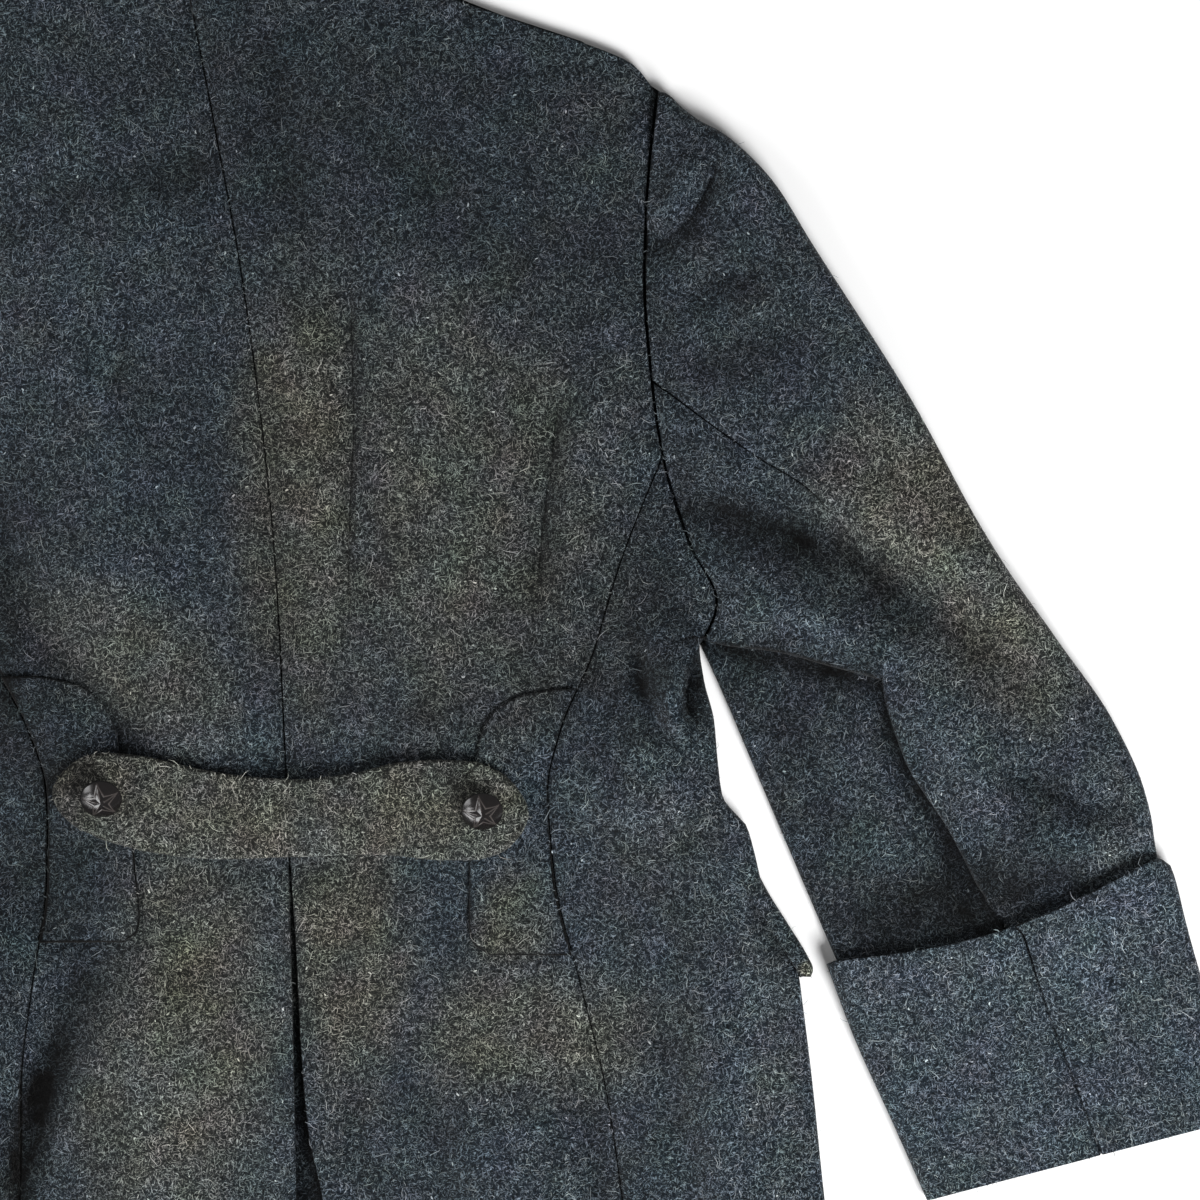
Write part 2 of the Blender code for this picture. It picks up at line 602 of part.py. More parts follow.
def cuff(side):
    """The turned back cuff, one strip round the sleeve that meets itself at the seam that shows."""
    grid = []
    for k in range(CUFF_ROWS + 1):
        share = k / CUFF_ROWS
        outer = follow(CUFF_OUTER, share)
        inner = follow(CUFF_INNER, share)
        top_z = CUFF_TOP_MID + CUFF_FLARE * (1 - ease(share * 3))
        across = (outer - inner).normalized()
        down = Vector((across.y, -across.x))
        half = (top_z - FLOOR_MID) / 2 + CLOTH / 2
        flat_outer = outer - across * half
        flat_inner = inner + across * half

        def place(at, height, dip=0.0):
            at = at + down * CUFF_DIP * dip * (1 - share)
            return Vector((sleeve_mirrored(side, at.x, at.y), at.y, height))

        def upper(part, clear):
            at = flat_inner.lerp(flat_outer, part) + across * clear
            return place(at, top_z, math.sin(math.pi * part))

        def turn(flat, outward, upward):
            low = place(flat, FLOOR_MID)
            high = place(flat, top_z)
            ahead = place(flat + outward, 0) - place(flat, 0)
            points = [low, *turned_edge(low, high, ahead.normalized()), high]
            return points if upward else points[::-1]

        row = [upper(CUFF_SEAM * (1 - part), -SEAM * (part == 0)) for part in CUFF_COLUMNS[:-1]]
        row += turn(flat_inner, -across, False)
        row += [place(mix(flat_inner, flat_outer, part), FLOOR_MID) for part in (0.25, 0.5, 0.75)]
        row += turn(flat_outer, across, True)
        row += [upper(mix(1, CUFF_SEAM, part), SEAM * (part == 1)) for part in CUFF_COLUMNS[1:]]
        grid.append(row)
    return [grid]


# What lies on the body


def tail_flap(side):
    """A flap sewn into the side back seam, made from the back's points moved out by one layer."""
    inwards, upwards = LEFT_FLAP_SHIFT if side < 0 else (0.0, 0.0)
    rows = []
    for level, free_x in TAIL_FLAP:
        y = level + upwards
        sewn_x = along(SIDE_SEAM, y) - 0.0012
        places = [mirrored(side, mix(free_x - inwards, sewn_x, k / 4), y) for k in range(5)]
        rows.append([back_point(x, y, LAYER + LIE) for x in places])
    return [rows]


def belt_height(x, y, half):
    """Middle of the half belt at a place along it, clear of the flaps and the back below."""
    tops = [back_height(x, y + half * k / 4) for k in range(-4, 5)]
    return max(tops) + LAYER + CLOTH / 2 + LIE + 0.0002 + BELT_CLOTH / 2


def half_belt():
    """The half belt, wider towards its round ends."""
    rows = []
    for x, y, half in BELT:
        height = max(belt_height(x + dx, y, half) for dx in (-0.012, 0.0, 0.012))
        rows.append([Vector((x, y + half * k / 3, height)) for k in range(-3, 4)])
    return [rows]


def pocket_flap(side):
    """A pocket flap on the floor under the front, which wraps the side and shows its rear edge on top."""
    rows = []
    for y, rear_x, outline_x, fore_x in POCKET_FLAP:
        outward = Vector((side, 0, 0))
        edge = mirrored(side, outline_x, y)
        rear = mirrored(side, rear_x, y)
        high = back_height(mirrored(side, along(SIDE_FOLD, y) - 0.006, y), y) + LAYER + 0.0004
        flat = inset(Vector((edge, y, 0)), outward, FLOOR_MID, high)
        low_point = Vector((flat.x, y, FLOOR_MID))
        high_point = Vector((flat.x, y, high))
        fore = mirrored(side, fore_x, y)
        row = [Vector((mix(fore, flat.x, part), y, FLOOR_MID)) for part in (0.0, 0.35, 0.7)]
        row += [low_point, *turned_edge(low_point, high_point, outward), high_point]
        row += [Vector((mix(flat.x, rear, part), y, high)) for part in (0.5, 1.0)]
        rows.append(row)
    return [rows]


def star_rise(radius, angle):
    """Height of the raised star at a share of the radius: ridges run from its middle to its points."""
    turn = math.pi / STAR_POINTS
    off = abs((angle + turn) % (2 * turn) - turn) / turn
    edge = STAR_REACH * STAR_NOTCH / mix(STAR_NOTCH, STAR_REACH, off) if off > 0 else STAR_REACH
    return STAR_RISE * max(0.0, 1 - radius / edge) ** 0.5 * (1 - 0.6 * off)


def button(name, x, y, lean, finish, coat):
    """A domed button with a star, on a shank, with its face leaning towards the hem."""
    points = []
    faces = []
    rings = (0.18, 0.36, 0.58, 0.80, 1.0)
    angles = [2 * math.pi * k / BUTTON_SIDES for k in range(BUTTON_SIDES)]
    points.append(Vector((0, 0, BUTTON_DOME + STAR_RISE)))
    for ring in rings:
        for angle in angles:
            height = BUTTON_DOME * (1 - ring**2) + star_rise(ring, angle)
            radius = BUTTON_RADIUS * ring
            points.append(Vector((math.sin(angle) * radius, math.cos(angle) * radius, height)))
    lean_angle = math.radians(lean)
    drop = BUTTON_RADIUS * math.sin(lean_angle)
    shank = drop / math.cos(lean_angle) - SHANK_RADIUS * math.tan(lean_angle)
    foot = -BUTTON_RIM - shank
    for radius, height in ((BUTTON_RADIUS, -BUTTON_RIM), (SHANK_RADIUS, -BUTTON_RIM), (SHANK_RADIUS, foot)):
        points += [Vector((math.sin(a) * radius, math.cos(a) * radius, height)) for a in angles]
    points.append(Vector((0, 0, foot)))
    count = len(rings) + 3
    for k in range(BUTTON_SIDES):
        after = (k + 1) % BUTTON_SIDES
        faces.append((0, 1 + after, 1 + k))
        for ring in range(count - 1):
            a, b = 1 + ring * BUTTON_SIDES, 1 + (ring + 1) * BUTTON_SIDES
            faces.append((a + k, a + after, b + after, b + k))
        last = 1 + (count - 1) * BUTTON_SIDES
        faces.append((last + k, last + after, len(points) - 1))
    made = object_from(name, points, faces, finish, coat)
    stand = max(belt_height(x + dx, y, 0.024) for dx in (-0.012, 0.0, 0.012)) + BELT_CLOTH / 2
    rise = drop + BUTTON_RIM * math.cos(lean_angle) + LIE
    made.location = (x, y, stand + rise)
    made.rotation_euler = (math.radians(lean), 0, 0)
    return made


def make_coat():
    for old in list(bpy.data.objects):
        bpy.data.objects.remove(old)
    coat = bpy.data.objects.new("greatcoat", None)
    bpy.context.scene.collection.objects.link(coat)
    coat.location = -BOX_MIDDLE
    melton = material("grey_melton", (0.055, 0.062, 0.070), 0.95)
    horn = material("dark_button", (0.018, 0.012, 0.012), 0.25)
    for side, hand in ((1, "right"), (-1, "left")):
        cloth(f"back_{hand}", back_panel(side), melton, coat)
        cloth(f"front_{hand}", front_panel(side), melton, coat)
        cloth(f"top_sleeve_{hand}", top_sleeve(side), melton, coat)
        cloth(f"under_sleeve_{hand}", under_sleeve(side), melton, coat)
        cloth(f"cuff_{hand}", cuff(side), melton, coat)
        cloth(f"tail_flap_{hand}", tail_flap(side), melton, coat)
        cloth(f"pocket_flap_{hand}", pocket_flap(side), melton, coat)
    cloth("vent_underlap", vent_underlap(), melton, coat)
    cloth("collar", collar(), melton, coat)
    cloth("half_belt", half_belt(), melton, coat, BELT_CLOTH)
    for name, x, y, lean in BUTTONS:
        button(name, x, y, lean, horn, coat)


make_coat()
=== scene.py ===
"""Looks of a heavy wool greatcoat that lies face down on a flat surface.

Lines and sizes are in metres from the centre back at the waist, x across and y up the coat. Most are those of
the solids. Edges that show are drawn finer, within 8 mm: sides, pocket flaps, sleeves, cuffs and belt.
Each cloth piece is a fine sheet of points with a wall, in the place of its solid, with the creases that show.
"""

import math

import bpy
import numpy as np
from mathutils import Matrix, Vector


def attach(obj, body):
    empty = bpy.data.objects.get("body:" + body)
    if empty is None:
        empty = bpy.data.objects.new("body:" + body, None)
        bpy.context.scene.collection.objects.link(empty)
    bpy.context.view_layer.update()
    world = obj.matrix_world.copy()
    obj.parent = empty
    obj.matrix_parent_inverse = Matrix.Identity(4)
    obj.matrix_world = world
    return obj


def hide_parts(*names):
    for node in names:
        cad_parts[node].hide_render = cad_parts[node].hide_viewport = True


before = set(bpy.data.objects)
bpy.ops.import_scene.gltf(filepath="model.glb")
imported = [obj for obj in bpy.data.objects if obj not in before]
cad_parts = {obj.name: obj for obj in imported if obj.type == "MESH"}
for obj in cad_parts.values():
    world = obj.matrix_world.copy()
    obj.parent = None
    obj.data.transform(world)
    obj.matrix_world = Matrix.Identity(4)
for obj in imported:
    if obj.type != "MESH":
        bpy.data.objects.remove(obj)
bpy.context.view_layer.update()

# Cloth and layers
CLOTH = 0.0025  # one layer of melton
SEAM = 0.0010  # clear air between two edges that are sewn together
ARMHOLE_GAP = 0.0018  # and at the armhole, where the edges roll apart
UNDER_ARMHOLE_SEAM = 0.0030  # the armhole's seam underneath lies this much farther out, out of sight
LIE = 0.0003  # clear air between two layers that lie on each other
LAYER = CLOTH + LIE  # height that one more layer adds
FLOOR_MID = CLOTH / 2
BACK_MID = 0.0100  # middle of the back where it lies flat
LOWEST_BACK = 0.0046  # no trough sinks below this
FOLD_STEPS = 9  # straight faces round a turned edge
EDGE_ROUND = 0.0006  # cut edges are rounded off by this
SEAM_DIP = 0.0016  # a panel sinks this far at a seam
SEAM_ROLL = 0.0032  # over this width
FLAP_SINK = 0.0010  # the back gives way this far under a tail flap, which lies nearly flush
FLAP_EASE = 0.0040  # over this width
TUCK_DOWN = 0.0016  # a tail flap and the back under it sink this far where the flap is sewn in
TUCK_UP = 0.0012  # and the side rises this far to meet it
TUCK_EASE = 0.0090  # over this width
PAINTED_RELIEF_LIFT = 0.0080  # a ridge this high gets full painted light, and a trough this deep full painted shade
# painted shade in troughs and painted light on ridges, for the relief's shading, as shares of that lift
TROUGH_DARK = 0.92
RIDGE_PALE = 0.42
EDGE_DARK = 0.76  # painted shade along seams and cut edges, where their gaps lie in shade
RIM_WIDTH = 0.0011  # and this wide round a tail flap
RIM_SHADED = 0.7  # painted shade at the flap's edge on the side that has its own shadow
RIM_LIT = 3.2  # and on the side towards the window, where a thin shadow line is painted that the light does not cast
RIM_EASE = 0.035  # from the flap's middle to where it is lit in full
WINDOW_SIDE = np.array((0.66, -0.75))  # the window is to the lower right
UNDER_DARK = 4.5  # the under sleeve's troughs, deep under its fold, get this much more painted shade
DEEPEST = 1.6  # a trough gets no more painted shade beyond this many times the lift above
DARKEST = 1.3  # and no cloth gets darker than this, apart from the painted shade at its edges
PATCH_CORE = 0.30  # a stain or patch of painted shade has its full strength inside this share of its half width and height
PATCH_FADE = 1.15  # and fades over this share
CREASE_ENDS = 0.22  # a crease dies away over this share of its length at each end
EDGE_INSET = 0.006  # a turned edge is as high as the cloth this far inside it
TURN_EASE = 0.008  # and the cloth takes its own height over this width

BOX_MIDDLE = np.array((0.0168, -0.0905, 0.0))  # the frame's origin

# Heights above the waist
NECK_BACK = 0.450
SHOULDER_POINT = 0.394
SEAM_TOP = 0.194
ARMPIT = 0.090
ARMPIT_TOP = 0.0940  # the side's turned edge runs up to here, under the sleeve's fold
VENT_TOP = -0.034
HEM = -0.750
COLLAR_DEPTH = 0.100
COLLAR_SPREAD = 0.06  # the collar widens by this share towards its top
COLLAR_PART = 0.002  # half the gap between its front ends
FRONT_LAP = 0.080
SHOULDER_DOWN = 0.34  # the shoulder's top edge comes down to the front from this share of its width
SHOULDER_EASE = 0.4  # over this share
SHOULDER_SHARE = 0.25  # share of the way down to SEAM_TOP over which the back takes its own height
VENT_REACH = 0.035  # the underlap reaches this far beyond the vent's edges
VENT_SHORT = 0.004  # and ends this far above the hem
ROW_CLEAR = 0.001  # no two rows of points at the armpit are nearer than this

# Lines of the right half: (y, x)
CENTRE_BACK = (
    (0.450, -0.055), (0.373, -0.040), (0.296, -0.026), (0.208, -0.014), (0.136, -0.007),
    (0.037, -0.002), (-0.034, 0.001), (-0.133, 0.006), (-0.215, 0.012), (-0.450, 0.020), (-0.750, 0.022),
)
VENT_RIGHT = (
    (-0.034, 0.0012), (-0.084, 0.0044), (-0.133, 0.0070), (-0.177, 0.0110), (-0.215, 0.0190),
    (-0.450, 0.0450), (-0.750, 0.0580),
)
VENT_LEFT = ((-0.034, 0.0008), (-0.133, 0.0035), (-0.215, 0.0050), (-0.450, 0.0020), (-0.750, -0.0060))
ARMHOLE = (
    (0.394, 0.203), (0.345, 0.198), (0.290, 0.196), (0.235, 0.200), (0.194, 0.206),
    (0.145, 0.221), (0.113, 0.236), (0.090, 0.2275),
)
SIDE_SEAM = (
    (0.194, 0.206), (0.136, 0.183), (0.081, 0.166), (0.043, 0.150), (0.010, 0.143), (-0.040, 0.147),
    (-0.097, 0.161), (-0.155, 0.175), (-0.215, 0.184), (-0.450, 0.212), (-0.750, 0.238),
)
SIDE_FOLD = (
    (0.096, 0.2300), (0.090, 0.2265), (0.070, 0.229), (0.048, 0.2345), (0.026, 0.2365), (0.006, 0.2392),
    (-0.003, 0.2455), (-0.010, 0.2522), (-0.022, 0.2560), (-0.040, 0.2602), (-0.064, 0.2665),
    (-0.082, 0.2755), (-0.091, 0.2808), (-0.106, 0.2830), (-0.150, 0.2885), (-0.215, 0.2953),
    (-0.450, 0.325), (-0.750, 0.359),
)
# Width of the left half as a share of the right one's: (y, share)
LEFT_SHARE = ((0.450, 1.00), (0.200, 0.97), (0.000, 0.92), (-0.200, 0.93), (-0.750, 1.00))
# Top edges: (distance from the centre back, y)
BACK_TOP = (
    (0.000, 0.450), (0.045, 0.454), (0.084, 0.468), (0.150, 0.444), (0.194, 0.429),
    (0.232, 0.416), (0.246, 0.409), (0.258, 0.394),
)
FRONT_TOP = ((0.000, 0.372), (0.040, 0.385), (0.072, 0.424), *BACK_TOP[2:])
TOP_WIDTH = BACK_TOP[-1][0]
NECK_POINT = 0.084  # from the centre back to the side of the neck

# Lines of the right sleeve, from the armhole to its end: (x, y)
SLEEVE_OUTER = (
    (0.2042, 0.3945), (0.2075, 0.3938), (0.2162, 0.3861), (0.2266, 0.3784), (0.2371, 0.3729),
    (0.2497, 0.3630), (0.2670, 0.3443), (0.287, 0.312), (0.343, 0.224), (0.392, 0.136), (0.4235, 0.092),
    (0.454, 0.048), (0.473, 0.004), (0.4785, -0.028), (0.4935, -0.085), (0.5205, -0.1680),
)
SLEEVE_INNER = ((0.2264, 0.0915), (0.2392, 0.0635), (0.255, 0.026), (0.3010, -0.082), (0.3575, -0.2130))
HIND_SEAM_UPPER = ((0.2003, 0.235), (0.256, 0.194), (0.289, 0.173), (0.316, 0.136), (0.3265, 0.074))
HIND_SEAM_LOWER = ((0.3265, 0.074), (0.343, 0.026), (0.367, -0.012), (0.393, -0.067), (0.4370, -0.1920))
SLEEVE_FOLD = ((0.2300, 0.0940), (0.270, 0.089), (0.300, 0.081), (0.3265, 0.074))
FORE_SEAM = ((0.2130, 0.172), (0.4000, -0.2000))  # underneath, straight
FORE_SEAM_CUFF = 0.65  # share of it above the cuff
CUFF_SHARES = (0.77, 0.54)  # shares of the top and the under sleeve's rows above the cuff
# Where the under sleeve's rows start at the armhole: (share of the way down, y)
UNDER_ARMHOLE = (
    (0.0, 0.2335), (0.16, 0.214), (0.34, 0.194), (0.52, 0.168), (0.72, 0.142), (0.90, 0.116), (1.0, 0.094),
)
CUFF_OUTER = (
    (0.4790, -0.0280), (0.4850, -0.0310), (0.4882, -0.0390), (0.4940, -0.0620),
    (0.500, -0.084), (0.527, -0.170),
)
CUFF_INNER = ((0.2960, -0.0860), (0.312, -0.128), (0.332, -0.172), (0.3515, -0.2160))
CUFF_DIP = 0.011  # its top edge sinks this far between its corners
CUFF_FLARE = 0.005  # and stands this far off the sleeve
CUFF_EDGE_EASE = 0.05  # its creases die away over this share of its width at each edge
CUFF_SEAM = 0.55  # the cuff meets itself at this share of its width
CUFF_SEAM_GAP = 0.0034  # and leaves this share open on each side
CUFF_SEAM_LINE = ((0.4030, -0.0657), (0.4250, -0.1285), (0.4480, -0.1907))
CUFF_SEAM_DARK = 2.8  # its painted seam shade, as a share of other seams'
CUFF_SEAM_SHADE_REACH = 0.002  # lies this far to each side, and fades over as much again

# Heights of the sleeve's layers
SLEEVE_LOW = 0.0062
SLEEVE_HIGH = 0.0135
CUFFED_FLOOR = FLOOR_MID + LAYER
CUFFED_TOP = CUFFED_FLOOR + LAYER + 0.0006  # with a little air between the two layers
CUFF_TOP_MID = CUFFED_TOP + LAYER
CUFF_EASE = 0.024  # the sleeve flattens over this length above the cuff
FOLD_ROLL = 0.0022  # largest radius of the fold that hangs over the under sleeve
SEAM_EDGE_ROLL = 0.0008  # and the smallest
FOLD_AIR = 0.0004  # clear air between that fold and the under sleeve
FOLD_CLEAR = 0.0010  # cloth this far below the fold's line is the under sleeve's lower part
FOLD_TUCK = 2.5  # which runs on under the fold by this many of the fold's radii
ARMPIT_RAISE = 0.010  # and is drawn up this far at the armpit
FOLD_BEND_FORE = 0.30  # rows above the fold bend to its line over this share from the armhole
FOLD_BEND_HIND = 0.08  # and over this share from the seam
SLEEVE_RISE = 0.045  # the sleeve rises from the back's height to its own over this width
ARMHOLE_EASE = 0.25  # its rows of points bend to the armhole over this share of its length
SEWN_TO = 0.48  # this share of the upper hind arm seam shows as a line
SEWN_EASE = 0.25  # and over this share the nap covers it
SEAM_CLOSED = 0.15  # how open it is from there on, as a share of SEAM
SEAM_SHADE_FADE_FROM = 0.280  # x from which a sleeve's seams have less painted shade
SEAM_SHADE_FADE_EASE = 0.030  # and none after this width

# Half belt: (x, middle y, half width)
BELT = (
    (-0.1292, 0.0080, 0.0002), (-0.1285, 0.0080, 0.0040), (-0.1230, 0.0080, 0.0125),
    (-0.1140, 0.0080, 0.0195), (-0.0980, 0.0060, 0.0245), (-0.0760, 0.0020, 0.0260),
    (-0.0480, -0.0030, 0.0246), (-0.0210, -0.0052, 0.0226), (0.0060, -0.0054, 0.0214),
    (0.0330, -0.0035, 0.0222), (0.0620, -0.0006, 0.0258), (0.0840, -0.0009, 0.0276),
    (0.1020, -0.0014, 0.0270), (0.1180, -0.0024, 0.0216), (0.1270, -0.0030, 0.0130),
    (0.1318, -0.0030, 0.0040), (0.1325, -0.0030, 0.0002),
)
BELT_CLOTH = 0.0050  # two layers turned in
BELT_AIR = 0.0008  # clear air under it, besides LIE
BELT_ACROSS = (-0.008, 0.0, 0.008)  # its height is the mean of the back's at these steps across
BELT_UP = (-0.012, 0.0, 0.012)  # and up, so that it bridges narrow folds
BELT_MIDDLE = 0.002
BELT_ON_FLAP = 0.078  # it rises onto the flaps this far from its middle
BELT_ON_EASE = 0.020  # over this width
BELT_STAIN = (0.85, -0.62)  # browner and lighter than the rest
TAIL_FLAP = (
    (0.0655, 0.148), (0.0620, 0.129), (0.0560, 0.117), (0.0460, 0.1085), (0.0330, 0.1045), (0.0000, 0.1030),
    (-0.0310, 0.1000), (-0.0640, 0.0995), (-0.0745, 0.1020), (-0.0810, 0.1110),
)
LEFT_FLAP_SHIFT = (0.007, 0.007)  # the left one lies this much nearer the centre and higher
# Right pocket flap: (y, x of its rear edge on top, x of its outline, x of its fore end below)
POCKET_FLAP = (
    (-0.034, 0.2470, 0.2575, 0.136), (-0.048, 0.2540, 0.2650, 0.134), (-0.064, 0.2635, 0.2750, 0.132),
    (-0.082, 0.2752, 0.2860, 0.131), (-0.089, 0.2800, 0.2890, 0.132), (-0.0925, 0.2835, 0.2878, 0.133),
)
POCKET_FLAP_RISE = 0.016  # it comes up out of the side over this length
# The front on the floor is lifted over the pocket flap: (y, share) and (distance from the centre back, share)
LIFT_ALONG = ((-0.1220, 0.0), (-0.0905, 1.0), (-0.0310, 1.0), (-0.0180, 0.0))
LIFT_ACROSS = ((0.076, 0.0), (0.115, 1.0))

# Buttons of the half belt: (name, x, y, lean of the face in degrees)
BUTTONS = (("belt_button_left", -0.1018, 0.0050, 30), ("belt_button_right", 0.1070, -0.0018, 28))
BUTTON_RADIUS = 0.0112
BUTTON_DOME = 0.0036
BUTTON_RIM = 0.0018
SHANK_RADIUS = 0.0030
STAR_POINTS = 5
STAR_REACH = 0.92  # as shares of the button's radius
STAR_NOTCH = 0.40
STAR_LINE_WIDTH = 0.040
STAR_RISE = 0.0009
STAR_LINE_RISE = 0.00024
STAR_TURN = math.radians(10)  # to the left
STAR_CLEAR = 0.2  # its ridges start this far from its centre
STAR_RIDGE = 0.7  # and are this high, as a share of its outline

# Large folds, as in the solids: x, y to x, y, rise, half width
BODY_FOLDS = (
    (-0.120, 0.340, -0.135, 0.130, 0.0070, 0.050),
    (-0.230, 0.260, -0.200, 0.090, 0.0050, 0.030),
    (0.085, 0.290, 0.078, 0.130, 0.0060, 0.034),
    (0.008, 0.260, 0.014, 0.130, 0.0040, 0.020),
    (0.172, 0.215, 0.152, 0.105, 0.0050, 0.020),
    (0.212, 0.085, 0.192, 0.000, 0.0060, 0.018),
    (-0.166, -0.070, -0.178, -0.330, 0.0130, 0.020),
    (-0.072, -0.130, -0.055, -0.380, 0.0080, 0.034),
    (0.235, -0.150, 0.285, -0.700, 0.0070, 0.026),
    (0.115, -0.190, 0.140, -0.700, 0.0080, 0.032),
    (-0.110, -0.420, -0.120, -0.720, 0.0080, 0.028),
    (-0.245, -0.180, -0.290, -0.700, 0.0070, 0.028),
)
SLEEVE_FOLDS = (
    (0.262, 0.318, 0.330, 0.215, 0.0030, 0.030),
    (0.355, 0.085, 0.375, 0.020, 0.0050, 0.022),
    (0.400, -0.020, 0.455, -0.012, 0.0040, 0.020),
    (0.245, 0.180, 0.300, 0.120, 0.0030, 0.024),
)
# Creases: rise, half width, 1 where it comes to a sharp line, then its points
BODY_CREASES = (
    (-0.0058, 0.0034, 1, (0.0336, 0.310), (0.0347, 0.279), (0.0352, 0.239), (0.0363, 0.213), (0.0341, 0.171),
     (0.0325, 0.136), (0.0350, 0.088)),
    (0.0018, 0.0080, 0, (0.0442, 0.295), (0.0456, 0.224), (0.0442, 0.150)),
    (0.0020, 0.0140, 0, (0.0114, 0.295), (0.0130, 0.213), (0.0141, 0.120)),
    (-0.0028, 0.0034, 1, (0.0462, 0.180), (0.0495, 0.136), (0.0528, 0.084)),
    (-0.0056, 0.0034, 1, (0.1500, 0.236), (0.1463, 0.202), (0.1430, 0.175), (0.1403, 0.156), (0.1364, 0.110)),
    (0.0030, 0.0070, 0, (0.1590, 0.225), (0.1541, 0.175), (0.1486, 0.120)),
    (0.0012, 0.0120, 0, (0.1276, 0.225), (0.1249, 0.125)),
    (-0.0016, 0.0055, 0, (0.1331, 0.255), (0.1320, 0.208), (0.1298, 0.160)),
    (-0.0036, 0.0120, 0, (-0.012, 0.440), (-0.007, 0.413), (0.0017, 0.315)),
    (-0.0040, 0.0140, 0, (-0.180, 0.300), (-0.158, 0.320), (-0.1166, 0.343), (-0.0743, 0.352),
     (-0.022, 0.350)),
    (-0.0026, 0.0140, 0, (0.045, 0.380), (0.059, 0.364), (0.107, 0.307), (0.118, 0.290)),
    (0.0026, 0.0085, 0, (-0.150, 0.285), (-0.1336, 0.260), (-0.0786, 0.186), (-0.066, 0.165)),
    (-0.0055, 0.0140, 0, (-0.172, 0.200), (-0.158, 0.158), (-0.131, 0.092), (-0.098, 0.048), (-0.070, 0.018)),
    (0.0046, 0.0240, 0, (-0.108, 0.160), (-0.098, 0.136), (-0.065, 0.070), (-0.032, 0.037), (-0.012, 0.024)),
    (-0.0034, 0.0095, 0, (-0.115, 0.036), (-0.060, 0.028), (0.000, 0.024), (0.060, 0.028), (0.100, 0.030)),
    (-0.0016, 0.0090, 0, (-0.080, -0.030), (0.000, -0.034), (0.080, -0.036)),
    (0.0062, 0.0056, 0, (0.2262, 0.096), (0.2145, 0.077), (0.2100, 0.062), (0.2110, 0.050), (0.2205, 0.036)),
    (-0.0074, 0.0046, 0, (0.2270, 0.090), (0.2200, 0.070), (0.2185, 0.058), (0.2205, 0.046)),
    (-0.0066, 0.0062, 0, (0.1925, 0.096), (0.1945, 0.070), (0.2010, 0.050), (0.2095, 0.032)),
    (-0.0028, 0.0090, 0, (0.176, 0.100), (0.180, 0.060), (0.192, 0.030)),
    (0.0036, 0.0140, 0, (0.140, 0.012), (0.170, 0.008), (0.226, 0.004), (0.240, 0.000)),
    (-0.0044, 0.0090, 0, (0.198, -0.090), (0.2035, -0.111), (0.2112, -0.150), (0.220, -0.191),
     (0.230, -0.260)),
    (0.0034, 0.0120, 0, (0.222, -0.070), (0.2266, -0.095), (0.2431, -0.205), (0.252, -0.290)),
    (-0.0034, 0.0080, 0, (0.0362, -0.125), (0.0352, -0.150), (0.0341, -0.216), (0.038, -0.320)),
    (-0.0036, 0.0100, 0, (0.079, -0.135), (0.0836, -0.160), (0.0864, -0.216), (0.092, -0.340)),
    (-0.0034, 0.0080, 0, (0.158, -0.125), (0.163, -0.150), (0.172, -0.216), (0.184, -0.320)),
    (-0.0084, 0.0150, 0, (-0.078, -0.046), (-0.1040, -0.080), (-0.1220, -0.115), (-0.1350, -0.148),
     (-0.1440, -0.178), (-0.1510, -0.208), (-0.1560, -0.240), (-0.164, -0.360)),
    (0.0080, 0.0160, 0, (-0.138, -0.030), (-0.1450, -0.056), (-0.1520, -0.106), (-0.1570, -0.161),
     (-0.1600, -0.216), (-0.167, -0.330)),
    (-0.0050, 0.0036, 0, (0.2500, -0.044), (0.2560, -0.054), (0.2618, -0.064), (0.2735, -0.082),
     (0.2795, -0.091)),
    (0.0046, 0.0130, 0, (0.012, -0.050), (0.016, -0.140), (0.028, -0.240), (0.052, -0.450), (0.068, -0.800)),
    (0.0036, 0.0130, 0, (-0.004, -0.050), (-0.003, -0.140), (-0.002, -0.240), (-0.008, -0.450),
     (-0.016, -0.800)),
    (-0.0020, 0.0120, 0, (-0.200, -0.100), (-0.225, -0.220), (-0.240, -0.420)),
    (-0.0030, 0.0140, 0, (0.170, -0.300), (0.185, -0.450), (0.200, -0.640)),
    (-0.0028, 0.0120, 0, (-0.080, -0.430), (-0.085, -0.560), (-0.095, -0.700)),
    (-0.0026, 0.0080, 1, (-0.165, 0.240), (-0.172, 0.200), (-0.168, 0.150)),
)
